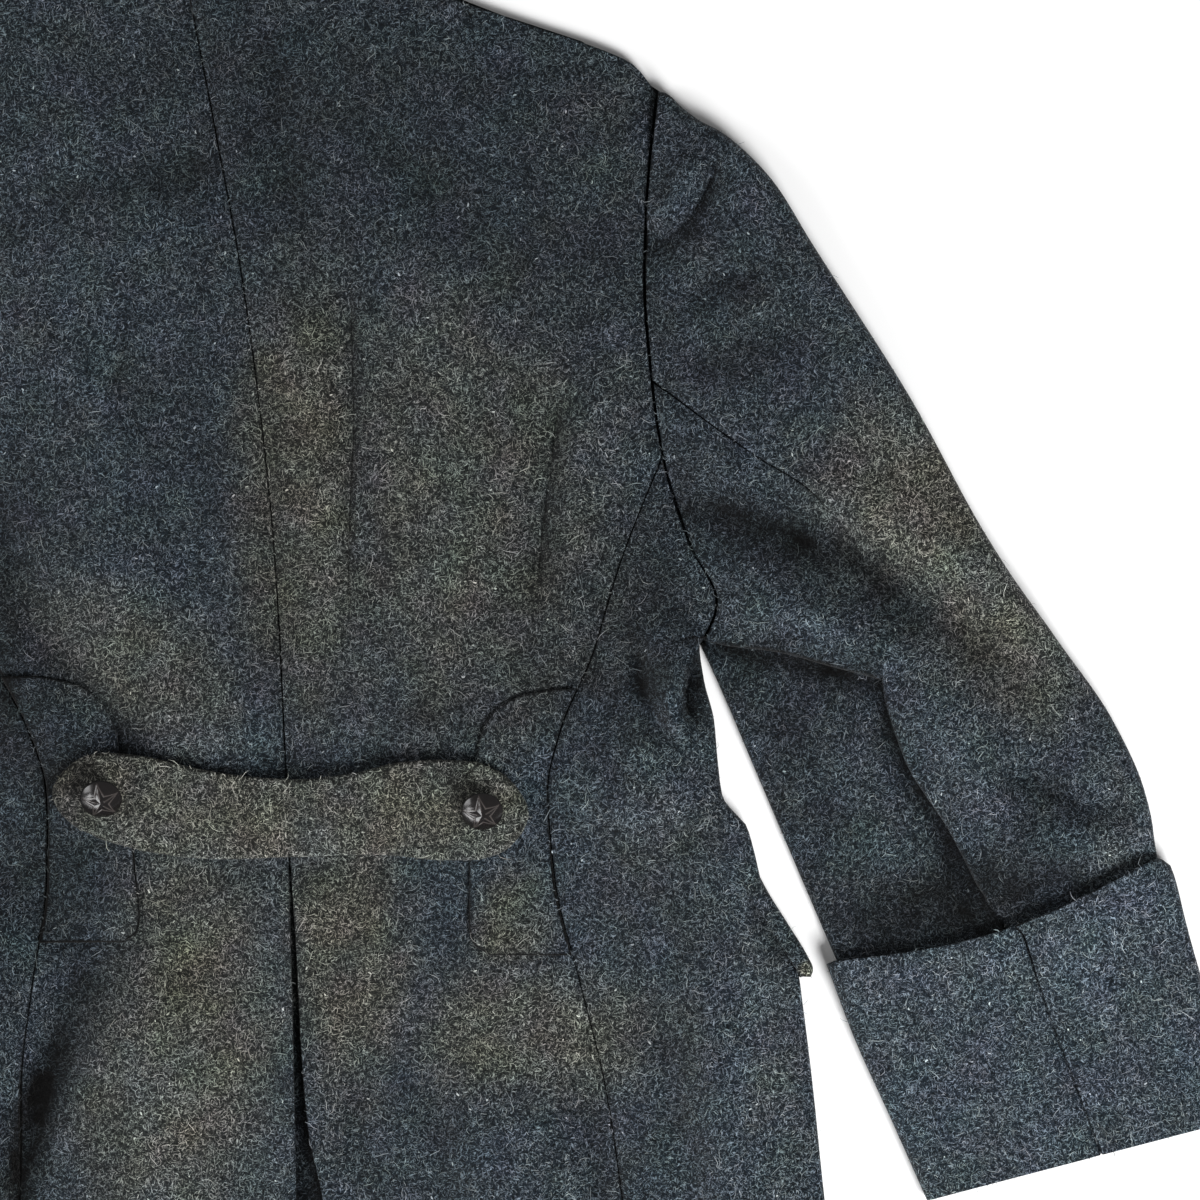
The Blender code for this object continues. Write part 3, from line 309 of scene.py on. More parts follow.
SLEEVE_CREASES = (
    (-0.0100, 0.0056, 1, (0.190, 0.3055), (0.1995, 0.3085), (0.208, 0.3125), (0.2162, 0.3192),
     (0.2228, 0.3275), (0.2283, 0.3370), (0.2330, 0.3480), (0.238, 0.362)),
    (0.0060, 0.0100, 0, (0.196, 0.320), (0.207, 0.326), (0.2150, 0.335), (0.222, 0.348), (0.224, 0.362)),
    (-0.0034, 0.0090, 0, (0.215, 0.276), (0.2277, 0.2833), (0.2679, 0.300), (0.280, 0.302)),
    (-0.0030, 0.0100, 0, (0.214, 0.234), (0.2266, 0.241), (0.2761, 0.263), (0.290, 0.266)),
    (0.0072, 0.0160, 0, (0.262, 0.190), (0.2816, 0.182), (0.3091, 0.171), (0.3476, 0.149), (0.3834, 0.122),
     (0.4136, 0.089), (0.430, 0.068)),
    (-0.0078, 0.0165, 0, (0.198, 0.178), (0.2211, 0.169), (0.2596, 0.158), (0.2981, 0.143), (0.3311, 0.123),
     (0.3696, 0.095), (0.3971, 0.070), (0.412, 0.055)),
    (0.0058, 0.0130, 0, (0.226, 0.118), (0.2376, 0.114), (0.2761, 0.108), (0.3064, 0.097), (0.3256, 0.081),
     (0.340, 0.064)),
    (0.0048, 0.0130, 0, (0.330, 0.074), (0.3366, 0.065), (0.3641, 0.037), (0.3834, 0.010), (0.3930, -0.014)),
    (-0.0064, 0.0100, 0, (0.386, 0.030), (0.3971, 0.018), (0.4301, 0.004), (0.4604, -0.004), (0.476, -0.006)),
    (0.0038, 0.0080, 0, (0.380, -0.020), (0.3916, -0.020), (0.4246, -0.018), (0.4631, -0.013),
     (0.476, -0.012)),
    (-0.0012, 0.0030, 1, (0.392, 0.092), (0.398, 0.085), (0.4065, 0.077), (0.414, 0.068)),
    (-0.0012, 0.0030, 1, (0.438, 0.036), (0.443, 0.030), (0.450, 0.018), (0.4615, 0.0017), (0.466, -0.006)),
)
UNDER_CREASES = (
    (-0.0005, 0.0090, 0, (0.262, 0.060), (0.285, 0.030), (0.300, -0.010)),
    (0.0005, 0.0090, 0, (0.290, 0.050), (0.315, 0.010), (0.330, -0.050)),
    (-0.0016, 0.0075, 0, (0.215, 0.092), (0.2350, 0.0880), (0.270, 0.0835), (0.300, 0.0755), (0.330, 0.066)),
    (-0.0022, 0.0085, 0, (0.316, 0.090), (0.3225, 0.070), (0.3385, 0.024), (0.3620, -0.014), (0.3875, -0.067),
     (0.4040, -0.112), (0.4180, -0.150)),
)
CUFF_CREASES = (
    (-0.0024, 0.0036, 0, (0.486, -0.050), (0.475, -0.0534), (0.4648, -0.0616), (0.456, -0.068)),
    (0.0028, 0.0060, 0, (0.464, -0.046), (0.473, -0.041), (0.480, -0.038), (0.488, -0.036)),
    (0.0012, 0.0120, 0, (0.330, -0.110), (0.345, -0.150), (0.360, -0.190)),
    (-0.0008, 0.0100, 0, (0.360, -0.090), (0.375, -0.130), (0.392, -0.180)),
    (0.0008, 0.0090, 0, (0.440, -0.080), (0.455, -0.120), (0.474, -0.160)),
)

# Stains and painted shade: x, y, half width, half height, turn in degrees, browner by, darker by
# Browner by is the cloth's own colour. Darker by holds real tone, and also painted shade in hollows, troughs,
# under the sleeve's fold and above the cuff, and painted light on some ridges where it is negative
STAINS_AND_PAINTED_SHADE = (
    (0.009, 0.175, 0.042, 0.130, 0, 0.90, -0.06),
    (0.095, 0.162, 0.090, 0.135, 0, 0.75, -0.06),
    (-0.007, 0.240, 0.016, 0.022, 0, 0.90, -0.25),
    (0.020, 0.132, 0.018, 0.040, 0, 0.90, -0.15),
    (-0.082, 0.080, 0.070, 0.036, -34, 0.75, -0.15),
    (0.031, -0.074, 0.038, 0.084, 0, 0.90, -0.35),
    (0.139, -0.124, 0.070, 0.042, 0, 0.85, -0.50),
    (0.125, -0.064, 0.026, 0.032, 0, 0.85, -0.25),
    (-0.050, -0.120, 0.052, 0.115, 0, 0.90, -0.36),
    (-0.092, -0.177, 0.036, 0.048, 0, 0.80, -0.10),
    (0.260, -0.110, 0.022, 0.100, 10, 0.20, -0.45),
    (0.455, -0.005, 0.022, 0.036, 0, 0.20, -0.55),
    (0.433, -0.092, 0.034, 0.030, 0, 0.0, -0.35),
    (-0.118, 0.300, 0.035, 0.022, 0, 0.0, 0.25),
    (0.268, 0.086, 0.050, 0.012, -8, 0.0, 0.45),
    (0.348, 0.165, 0.070, 0.052, -45, 0.95, -0.48),
    (0.393, 0.100, 0.064, 0.046, -52, 0.85, -0.30),
    (0.302, 0.132, 0.085, 0.024, -28, 0.0, 0.30),
    (0.206, 0.110, 0.020, 0.075, 0, 0.0, 0.25),
    (0.2230, 0.065, 0.0070, 0.023, 0, 0.0, 0.90),
    (0.2130, 0.064, 0.0040, 0.020, 0, 0.0, -0.30),
    (0.183, 0.395, 0.022, 0.033, 0, 0.20, 0.0),
    (0.285, -0.089, 0.005, 0.005, 0, 1.20, -1.60),
    (0.030, 0.372, 0.180, 0.082, 0, 0.0, 0.34),
    (-0.103, 0.340, 0.062, 0.018, 13, 0.0, 0.30),
    (-0.098, 0.208, 0.072, 0.072, 0, 0.0, 0.38),
    (-0.147, 0.136, 0.025, 0.083, 0, 0.0, 0.40),
    (-0.157, 0.100, 0.014, 0.060, 0, 0.0, 0.60),
    (-0.007, 0.114, 0.018, 0.066, 0, 0.0, 0.15),
    (0.168, 0.102, 0.054, 0.066, 0, 0.0, 0.50),
    (0.092, 0.051, 0.040, 0.017, 0, 0.0, 0.35),
    (0.150, 0.296, 0.066, 0.044, 0, 0.0, 0.30),
    (0.265, 0.270, 0.060, 0.060, 0, 0.0, 0.30),
    (0.254, 0.152, 0.050, 0.020, -15, 0.0, 0.36),
    (0.276, 0.060, 0.055, 0.024, -12, 0.0, 0.30),
    (0.271, 0.004, 0.033, 0.083, 25, 0.0, 0.20),
    (0.298, 0.131, 0.066, 0.022, -22, 0.0, 0.16),
    (0.195, 0.066, 0.005, 0.028, 8, 0.0, 0.45),
    (0.318, 0.074, 0.012, 0.008, -15, 0.0, 0.60),
    (0.374, -0.048, 0.080, 0.024, 16, 0.0, 1.10),
    (0.106, -0.183, 0.072, 0.033, 0, 0.0, 0.20),
    (-0.140, 0.040, 0.036, 0.040, 0, 0.0, 0.60),
    (-0.086, 0.043, 0.015, 0.022, -25, 0.0, 0.50),
    (-0.122, -0.040, 0.034, 0.060, 0, 0.0, 0.60),
    (-0.116, -0.100, 0.012, 0.045, -24, 0.0, -0.30),
    (-0.136, -0.150, 0.014, 0.055, -20, 0.0, 0.45),
    (-0.148, -0.200, 0.013, 0.050, -12, 0.0, 0.80),
    (-0.158, -0.125, 0.018, 0.120, 0, 0.0, 0.62),
    (0.200, -0.060, 0.062, 0.100, 0, 0.22, 0.0),
    (0.216, 0.059, 0.017, 0.034, 0, 0.0, 0.20),
    (0.006, -0.130, 0.008, 0.110, 0, 0.0, 0.20),
)


# Curves and heights


def curve(table):
    """A smooth function through the first two columns of a table, with no overshoot."""
    at, value = np.array(sorted(row[:2] for row in table)).T
    gaps = np.diff(at)
    slopes = np.diff(value) / gaps
    before, after = slopes[:-1], slopes[1:]
    same = before * after > 0
    total = np.where(same, before + after, 1.0)
    bends = np.concatenate((slopes[:1], np.where(same, 2 * before * after / total, 0.0), slopes[-1:]))

    def read(place):
        place = np.clip(place, at[0], at[-1])
        i = np.clip(np.searchsorted(at, place, side="right") - 1, 0, len(gaps) - 1)
        f = (place - at[i]) / gaps[i]
        start = value[i] * (1 + 2 * f) * (1 - f) ** 2 + bends[i] * gaps[i] * f * (1 - f) ** 2
        return start + value[i + 1] * f * f * (3 - 2 * f) + bends[i + 1] * gaps[i] * f * f * (f - 1)

    return read


def follow(points, share):
    """Points at shares of the length of a smooth line through points."""
    steps = np.linalg.norm(np.diff(points, axis=0), axis=1)
    lengths = np.concatenate(([0.0], np.cumsum(steps)))
    place = np.asarray(share) * lengths[-1]
    return np.stack([curve(list(zip(lengths, column)))(place) for column in zip(*points)], axis=-1)


centre_back = curve(CENTRE_BACK)
vent_right = curve(VENT_RIGHT)
vent_left = curve(VENT_LEFT)
armhole = curve(ARMHOLE)
side_seam = curve(SIDE_SEAM)
side_fold = curve(SIDE_FOLD)
sleeve_fold = curve(SLEEVE_FOLD)
left_share = curve(LEFT_SHARE)
back_top = curve(BACK_TOP)
front_top = curve(FRONT_TOP)
lift_along = curve(LIFT_ALONG)
lift_across = curve(LIFT_ACROSS)


def ease(value):
    f = np.clip(value, 0.0, 1.0)
    return f * f * (3 - 2 * f)


def mix(a, b, share):
    return a + (b - a) * share


def unit(vectors):
    return vectors / np.linalg.norm(vectors, axis=-1, keepdims=True)


def points(x, y, z):
    return np.stack(np.broadcast_arrays(x, y, z), axis=-1)


def steps(*stops):
    """Values that run evenly between stops: value, count, value, count, value."""
    runs = [np.linspace(a, b, n, endpoint=False) for a, n, b in zip(stops[::2], stops[1::2], stops[2::2])]
    return np.concatenate([*runs, [stops[-1]]])


def mirrored(side, x, y):
    """x on the right half, or the place on the left half that matches it."""
    if side > 0:
        return x + 0.0 * y
    middle = centre_back(y)
    return middle - left_share(y) * (x - middle)


def sleeve_mirrored(side, x, y):
    if side > 0:
        return x
    edge = armhole(np.maximum(y, ARMPIT))
    return mirrored(side, edge, y) - (x - edge)


def near_line(line, x, y):
    """Distance to a line of points, and the share of its length at the nearest place."""
    line = np.array(line)
    lengths = np.linalg.norm(np.diff(line, axis=0), axis=1)
    starts = np.concatenate(([0.0], np.cumsum(lengths)))
    best = np.full(np.shape(x), 9.0)
    share = np.zeros(np.shape(x))
    for (x0, y0), (x1, y1), length, start in zip(line, line[1:], lengths, starts):
        f = np.clip(((x - x0) * (x1 - x0) + (y - y0) * (y1 - y0)) / max(length**2, 1e-12), 0, 1)
        distance = np.hypot(x - x0 - f * (x1 - x0), y - y0 - f * (y1 - y0))
        nearer = distance < best
        best = np.where(nearer, distance, best)
        share = np.where(nearer, (start + f * length) / starts[-1], share)
    return best, share


def relief(folds, creases, x, y):
    """Height that large folds and creases add at places."""
    rise = np.zeros(np.shape(x))
    for x0, y0, x1, y1, height, half in folds:
        distance = near_line(((x0, y0), (x1, y1)), x, y)[0]
        rise += height * np.exp(-((distance / half) ** 2))
    for height, half, sharp, *line in creases:
        distance, share = near_line(line, x, y)
        ends = ease(np.minimum(share, 1 - share) / CREASE_ENDS)
        rise += height * ends * np.exp(-((distance / half) ** (1 if sharp else 2)))
    return rise


def back_height(x, y):
    """Middle of the uppermost cloth of the body."""
    x, y = np.broadcast_arrays(x, y)
    return np.maximum(BACK_MID + relief(BODY_FOLDS, BODY_CREASES, x, y), LOWEST_BACK)


def seam_dip(distance):
    return -SEAM_DIP * np.exp(-((distance / SEAM_ROLL) ** 2))


def turned_edge(low, high, outward):
    """Points round turned edges, from the lower sheet's last point to the upper sheet's first."""
    middle = (low + high) / 2
    radius = (high[..., 2:] - low[..., 2:]) / 2
    up = np.array((0.0, 0.0, 1.0))
    angles = np.pi * (np.arange(FOLD_STEPS + 1) / FOLD_STEPS - 0.5)
    rounds = [middle + radius * (outward * math.cos(a) + up * math.sin(a)) for a in angles]
    rounds[0], rounds[-1] = low, high
    return np.stack(rounds, axis=1)


# Meshes


def weld(grids):
    """Vertices and faces of grids of points, joined where their points meet."""
    faces = []
    start = 0
    for grid in grids:
        rows, columns = grid.shape[:2]
        number = start + np.arange(rows * columns).reshape(rows, columns)
        corners = number[:-1, :-1], number[1:, :-1], number[1:, 1:], number[:-1, 1:]
        faces.append(np.stack(corners, axis=-1).reshape(-1, 4))
        start += rows * columns
    every = np.concatenate([grid.reshape(-1, 3) for grid in grids])
    micrometres = np.round(every * 1e6).astype(np.int64)
    first, index = np.unique(micrometres, axis=0, return_index=True, return_inverse=True)[1:]
    rings = [list(dict.fromkeys(ring)) for ring in index.ravel()[np.concatenate(faces)].tolist()]
    return every[first], [ring for ring in rings if len(ring) > 2]


def stain_and_shade_at(x, y, lift, base):
    """How brown and how dark cloth is at places: stains, painted light on ridges, and painted shade in
    troughs.
    """
    worn = np.clip(lift / PAINTED_RELIEF_LIFT, -DEEPEST, 1.0)
    brown = np.full(np.shape(x), base[0])
    dark = base[1] - np.where(worn < 0, TROUGH_DARK, RIDGE_PALE) * worn
    for cx, cy, half_x, half_y, turn, browner, darker in STAINS_AND_PAINTED_SHADE:
        c, s = math.cos(math.radians(turn)), math.sin(math.radians(turn))
        across = ((x - cx) * c + (y - cy) * s) / half_x
        along = ((y - cy) * c - (x - cx) * s) / half_y
        weight = 1 - ease((np.hypot(across, along) - PATCH_CORE) / PATCH_FADE)
        brown = np.maximum(brown, browner * weight)
        dark = dark + darker * weight
    return brown, np.minimum(dark, DARKEST)


def piece(name, vertices, faces, finish):
    mesh = bpy.data.meshes.new(name)
    mesh.from_pydata((vertices - BOX_MIDDLE).tolist(), [], faces)
    mesh.validate()
    mesh.shade_smooth()
    mesh.materials.append(finish)
    made = bpy.data.objects.new(name, mesh)
    bpy.context.scene.collection.objects.link(made)
    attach(made, "root")
    return made


# For stains and painted shade at places: x on the right half, the height of folds, and the painted shade of
# edges as a share


def body_lift(x, y):
    return x, relief(BODY_FOLDS, BODY_CREASES, x, y), 1.0


def sleeve_lift(side, folded):
    def read(x, y):
        x = sleeve_mirrored(side, x, y)
        upper = relief(SLEEVE_FOLDS, SLEEVE_CREASES, x, y)
        below = folded & (y < sleeve_fold(x) - FOLD_CLEAR)
        # the under sleeve below its fold gets painted shade from its troughs
        raised = np.where(below, UNDER_DARK * relief((), UNDER_CREASES, x, y), upper)
        # painted shade along the seams, less on the sleeve's outer side
        return x, raised, 1 - ease((x - SEAM_SHADE_FADE_FROM) / SEAM_SHADE_FADE_EASE)

    return read


def cuff_lift(side):
    def read(x, y):
        x = sleeve_mirrored(side, x, y)
        away = near_line(CUFF_SEAM_LINE, x, y)[0]
        # more painted shade along the cuff's seam
        return x, 0.0 * x, CUFF_SEAM_DARK * ease(2 - away / CUFF_SEAM_SHADE_REACH)

    return read


def no_lift(x, y):
    return x, 0.0 * x, 1.0


def open_edge(mesh):
    """1 at the vertices on a sheet's open edges, and 0 elsewhere."""
    corner_edges = np.empty(len(mesh.loops), dtype=np.int32)
    mesh.loops.foreach_get("edge_index", corner_edges)
    ends = np.empty(2 * len(mesh.edges), dtype=np.int32)
    mesh.edges.foreach_get("vertices", ends)
    single = np.bincount(corner_edges, minlength=len(mesh.edges)) == 1
    marked = np.zeros(len(mesh.vertices))
    marked[ends.reshape(-1, 2)[single].ravel()] = 1.0
    return marked


def set_attributes(made, **values):
    for name, value in values.items():
        added = made.data.attributes.new(name, "FLOAT", "POINT")
        added.data.foreach_set("value", value.astype(np.float32))


def paint_stain_and_shade(made, vertices, lift, base, edge):
    x, y = vertices.T[:2]
    x, raised, edge_shade = lift(x, y)
    brown, dark = stain_and_shade_at(x, y, raised, base)
    # stains, painted shade in troughs, and painted shade along open edges
    set_attributes(made, brown=brown, dark=dark + EDGE_DARK * edge_shade * edge)


def cloth(node, grids, lift, base=(0.0, 0.0)):
    """A cloth piece in the place of its solid: a sheet with a wall and rounded cut edges."""
    vertices, faces = weld(grids)
    made = piece(f"{node}_cloth", vertices, faces, melton)
    paint_stain_and_shade(made, vertices, lift, base, open_edge(made.data))
    wall = made.modifiers.new("wall", "SOLIDIFY")
    wall.thickness = CLOTH
    wall.offset = 0.0
    rounding = made.modifiers.new("cut_edges", "BEVEL")
    rounding.width = EDGE_ROUND
    rounding.segments = 2
    rounding.limit_method = "ANGLE"
    rounding.angle_limit = math.radians(60)
    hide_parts(node)
    return made


def turned_in(node, x, y, height, thickness, base, rim):
    """A piece with a rounded edge all round: two sheets that meet at its outline.

    rim says how much painted shade a tail flap's edge has.
    """
    plan = np.stack((x, y), axis=-1)
    border = np.concatenate((plan[0], plan[:, -1], plan[-1, ::-1], plan[::-1, 0]))
    inside = near_line(border, x, y)[0]
    away = 1 - np.clip(inside / (thickness / 2), 0, 1)
    half = thickness / 2 * np.sqrt(1 - away**2)
    vertices, faces = weld([points(x, y, height + half), points(x, y, height - half)[:, ::-1]])
    made = piece(f"{node}_cloth", vertices, faces, melton)
    from_edge = near_line(border, *vertices.T[:2])[0]
    # painted shade round the flap's edge, strongest on the side towards the window, where the light casts no
    # shadow line
    lit = ease((vertices[:, :2] - plan.reshape(-1, 2).mean(axis=0)) @ WINDOW_SIDE / RIM_EASE)
    rim = mix(RIM_SHADED, RIM_LIT, lit) * rim
    paint_stain_and_shade(made, vertices, no_lift, base, rim * np.exp(-((from_edge / RIM_WIDTH) ** 2)))
    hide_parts(node)
    return made


# Body

# Shares across a back panel, close together at its seams and at the right one's pleats
BACK_COLUMNS = {
    1: steps(0.0, 4, 0.014, 10, 0.19, 42, 0.33, 22, 0.70, 34, 0.81, 10, 0.986, 4, 1.0),
    -1: steps(0.0, 4, 0.014, 58, 0.986, 4, 1.0),
}
BODY_ROWS = steps(SEAM_TOP, 102, -0.230, 50, HEM)


def inner_edge(side, y):
    below = vent_right(y) if side > 0 else vent_left(y)
    return np.where(y > VENT_TOP, centre_back(y), below) + side * SEAM / 2


def neck_x(side, out):
    edge = mirrored(side, armhole(SHOULDER_POINT) - SEAM / 2, np.float64(SHOULDER_POINT))
    return mix(inner_edge(side, np.float64(NECK_BACK)), edge, out / TOP_WIDTH)


def flap_edge(side):
    """Points along a tail flap's free edge, from its upper end at the seam to its lower end there."""
    inwards, upwards = LEFT_FLAP_SHIFT if side < 0 else (0.0, 0.0)
    y, x = np.array(TAIL_FLAP).T
    y = np.concatenate((y[:1], y, y[-1:])) + upwards
    x = np.concatenate((side_seam(y[:1]), x - inwards, side_seam(y[-1:])))
    return np.stack((mirrored(side, x, y), y), axis=-1)


def under_flap(side, x, y):
    """From 0 to 1, how far the back gives way under a tail flap and just round it."""
    inwards, upwards = LEFT_FLAP_SHIFT if side < 0 else (0.0, 0.0)
    middle = centre_back(y)
    out = x if side > 0 else middle + (middle - x) / left_share(y)
    level = y - upwards
    below = ease((TAIL_FLAP[0][0] - level) / FLAP_EASE + 1)
    above = ease((level - TAIL_FLAP[-1][0]) / FLAP_EASE + 1)
    return below * above * ease((out + inwards - curve(TAIL_FLAP)(level)) / FLAP_EASE + 1)


def tucked(side, x, y):
    """From 0 to 1, how near places are to the stretch of the side back seam that holds a tail flap."""
    top, bottom = flap_edge(side)[[0, -1], 1]
    level = ease((top - y) / TUCK_EASE) * ease((y - bottom) / TUCK_EASE)
    return level * np.exp(-(((x - mirrored(side, side_seam(y), y)) / TUCK_EASE) ** 2))


def back_panel(side):
    """Points of a back panel, from the neck and shoulder to the hem."""
    share = BACK_COLUMNS[side][None, :]
    down = steps(0.0, 4, 0.02, 60, 1.0)[:, None]
    edge_y = mix(SHOULDER_POINT, SEAM_TOP, down)
    middle_y = mix(NECK_BACK, SEAM_TOP, down)
    inner = inner_edge(side, middle_y)
    outer = mirrored(side, armhole(edge_y) - ARMHOLE_GAP / 2, edge_y)
    x = mix(inner, outer, share)
    y = mix(back_top(share * TOP_WIDTH), SEAM_TOP, down)
    shoulder = mix(CUFFED_TOP, FLOOR_MID + LAYER, ease((share - SHOULDER_DOWN) / SHOULDER_EASE))
    z = mix(shoulder, back_height(x, y), ease(down / SHOULDER_SHARE))
    z = z + seam_dip(np.abs(x - inner)) + seam_dip(np.abs(x - outer))
    upper = points(x, y, z)
    y = BODY_ROWS[1:, None]
    inner = inner_edge(side, y)
    outer = mirrored(side, side_seam(y) - SEAM / 2, y)
    x = mix(inner, outer, share)
    z = back_height(x, y) + seam_dip(np.abs(x - inner)) * (y > VENT_TOP) + seam_dip(np.abs(x - outer))
    z = z - FLAP_SINK * under_flap(side, x, y) - TUCK_DOWN * tucked(side, x, y)
    return [np.concatenate((upper, points(x, y, z)))]


FRONT_NEAR = np.array((0.0, 0.028, 0.056, 0.084))
FRONT_LAP_NEAR = np.array((-FRONT_LAP / 2, 0.0, 0.044, 0.074))
FRONT_FAR = np.array((0.25, 0.5, 0.75, 1.0))
LAP_LIFT = np.array((1, 1, 1, 0, 0, 0, 0, 0))
SIDE_TOP = 0.1925


def floor_height(side, x, y):
    """Middle of a front on the floor, lifted over its pocket flap."""
    out = np.abs(x - centre_back(y)) / (1 if side > 0 else left_share(y))
    return FLOOR_MID + LAYER * lift_along(y) * lift_across(out)


def front_panel(side):
    """Points of a front: on the floor, round the side, and up to the side back seam."""
    level = np.linspace(SHOULDER_POINT, ARMPIT_TOP + LIE, 24)[:, None]
    down = (SHOULDER_POINT - level) / (SHOULDER_POINT - ARMPIT)
    tops = np.concatenate((FRONT_NEAR, mix(FRONT_NEAR[-1], TOP_WIDTH, FRONT_FAR)))
    y = mix(front_top(tops)[None, :], ARMPIT, down)
    lap = LAYER * LAP_LIFT * (side > 0)
    lapped = centre_back(y[:, :4]) + side * FRONT_LAP_NEAR
    near = mix(neck_x(side, FRONT_NEAR)[None, :], lapped, ease(down * 2))
    edge = mirrored(side, armhole(level) + UNDER_ARMHOLE_SEAM - SEAM / 2, level)
    x = np.concatenate((near, mix(near[:, -1:], edge, FRONT_FAR)), axis=1)
    above_armpit = points(x, y, floor_height(side, x, y) + lap)

    rows = BODY_ROWS[(BODY_ROWS < SIDE_TOP) & (BODY_ROWS > ARMPIT_TOP + ROW_CLEAR)]
    y = np.concatenate(([SIDE_TOP], rows, [ARMPIT_TOP + LIE]))[:, None]
    seam = mirrored(side, side_seam(y) + SEAM / 2, y)
    edge = mirrored(side, armhole(y) - ARMHOLE_GAP / 2, y)
    share = steps(0.0, 4, 0.05, 19, 0.95, 4, 1.0)[None, :]
    x = mix(edge, seam, share)
    z = back_height(x, y) + seam_dip(np.abs(x - seam)) + seam_dip(np.abs(x - edge))
    top_upper = points(x, y, z)

    y = np.concatenate(([ARMPIT_TOP], BODY_ROWS[BODY_ROWS < ARMPIT_TOP - ROW_CLEAR]))[:, None]
    outward = np.array((float(side), 0.0, 0.0))
    edge = mirrored(side, side_fold(y), y)
    high = back_height(edge - side * EDGE_INSET, y)
    low = floor_height(side, edge - side * EDGE_INSET, y)
    flat = edge - side * ((high - low) / 2 + CLOTH / 2)
    seam = mirrored(side, side_seam(y) + SEAM / 2, y)
    x = mix(flat, seam, share)
    z = back_height(x, y) + seam_dip(np.abs(x - seam)) + TUCK_UP * tucked(side, x, y)
    z = mix(high, z, ease(np.abs(x - flat) / TURN_EASE))
    top_lower = points(x, y, z)
    low_point = points(flat, y, low)[:, 0]
    turned = turned_edge(low_point, top_lower[:, 0], outward)
    near = centre_back(y) + side * FRONT_LAP_NEAR
    x = np.concatenate((near, mix(near[:, -1:], flat, FRONT_FAR)), axis=1)
    floor = points(x, y, floor_height(side, x, y) + lap)
    floor[:, -1] = low_point
    return [np.concatenate((above_armpit, floor)), turned, np.concatenate((top_upper, top_lower))]


def vent_underlap():
    y = steps(VENT_TOP, 60, -0.26, 40, HEM + VENT_SHORT)[:, None]
    x = mix(vent_left(y) - VENT_REACH, vent_right(y) + VENT_REACH, np.linspace(0, 1, 24)[None, :])
    return [points(x, y, FLOOR_MID + 2 * LAYER + 0.0 * x)]


def collar():
    """Points of the collar turned up: its front ends on the floor, and the back of it above them."""
    middle = centre_back(NECK_BACK)
    up = np.linspace(0, 1, 26)[:, None]
    wider = 1 + COLLAR_SPREAD * up

    def place(side, out, line, height):
        x = mix(middle, neck_x(side, out), wider)
        return points(x, line(out) + 2 * SEAM + up * COLLAR_DEPTH, height)

    halves = []
    for side in (1, -1):
        outward = np.array((float(side), 0.0, 0.0))
        low = place(side, NECK_POINT, back_top, FLOOR_MID)
        high = place(side, NECK_POINT, back_top, CUFFED_TOP)
        fore = np.linspace(COLLAR_PART, NECK_POINT, 20, endpoint=False)[None, :]
        under = place(side, fore, front_top, FLOOR_MID)
        over = place(side, np.linspace(NECK_POINT, 0, 22)[None, 1:], back_top, CUFFED_TOP)
        halves.append(np.concatenate((under, turned_edge(low[:, 0], high[:, 0], outward), over), axis=1))
    return [np.concatenate((halves[0], halves[1][:, -2::-1]), axis=1)]


# Sleeves


def left_of(start, end, x, y):
    """Distance of places to the left of a line."""
    dx, dy = end[0] - start[0], end[1] - start[1]
    return (dx * (y - start[1]) - dy * (x - start[0])) / math.hypot(dx, dy)


def held(x, y, height, held_height):
    """A height of the right sleeve, drawn towards the flat form that it has inside the cuff."""
    above = left_of(CUFF_INNER[0], CUFF_OUTER[0], x, y)
    return mix(height, held_height, 1 - ease(above / CUFF_EASE))


def high_sleeve(place):
    """Middle of the right sleeve's uppermost cloth above and outside its fold."""
    x, y = place[..., 0], place[..., 1]
    shoulder = np.where(y > ARMPIT, ease((x - armhole(y)) / SLEEVE_RISE), 1.0)
    height = mix(BACK_MID, SLEEVE_HIGH, shoulder) + relief(SLEEVE_FOLDS, SLEEVE_CREASES, x, y)
    return held(x, y, np.maximum(height, SLEEVE_LOW), CUFFED_TOP)


def low_sleeve(place):
    """The same below and inside its fold."""
    x, y = place[..., 0], place[..., 1]
    height = np.maximum(SLEEVE_LOW + relief((), UNDER_CREASES, x, y), FLOOR_MID + LAYER)
    return held(x, y, height, CUFFED_TOP)


def floor_sleeve(place):
    return held(place[..., 0], place[..., 1], FLOOR_MID, CUFFED_FLOOR)


def on_sleeve(side, place, height):
    return points(sleeve_mirrored(side, place[..., 0], place[..., 1]), place[..., 1], height)


def overhang(place):
    """Radius of the fold that hangs over the under sleeve at places."""
    room = high_sleeve(place) - low_sleeve(place) - CLOTH - FOLD_AIR
    return np.clip(room / 2, SEAM_EDGE_ROLL, FOLD_ROLL)


def roll(place, away, radius, height, angles):
    """Rows of places and heights round a fold's edge, for angles from its top."""
    across = [place + away * (radius * math.sin(a))[..., None] for a in angles]
    return across, [height - radius + radius * math.cos(a) for a in angles]


def sewn_to_armhole(grid, share, out):
    """Places of a sleeve's rows, moved so that the first row lies a little out from the armhole."""
    move = armhole(grid[0, :, 1]) + out - grid[0, :, 0]
    grid[..., 0] += move[None, :] * (1 - ease(share / ARMHOLE_EASE))[:, None]
    return grid


def flat_end(edge, inside, height):
    """Where the sleeve leaves the flat to turn round its edge."""
    outward = unit(edge - inside)
    near = edge - outward * EDGE_INSET
    return edge - outward * ((height(near) - floor_sleeve(near)) / 2 + CLOTH / 2)[:, None]


def sleeve_turn(side, flat, edge, height):
    low = on_sleeve(side, flat, floor_sleeve(flat))
    high = on_sleeve(side, flat, height(flat))
    ahead = on_sleeve(side, edge, floor_sleeve(flat)) - low
    return turned_edge(low, high, unit(ahead * np.array((1.0, 1.0, 0.0))))


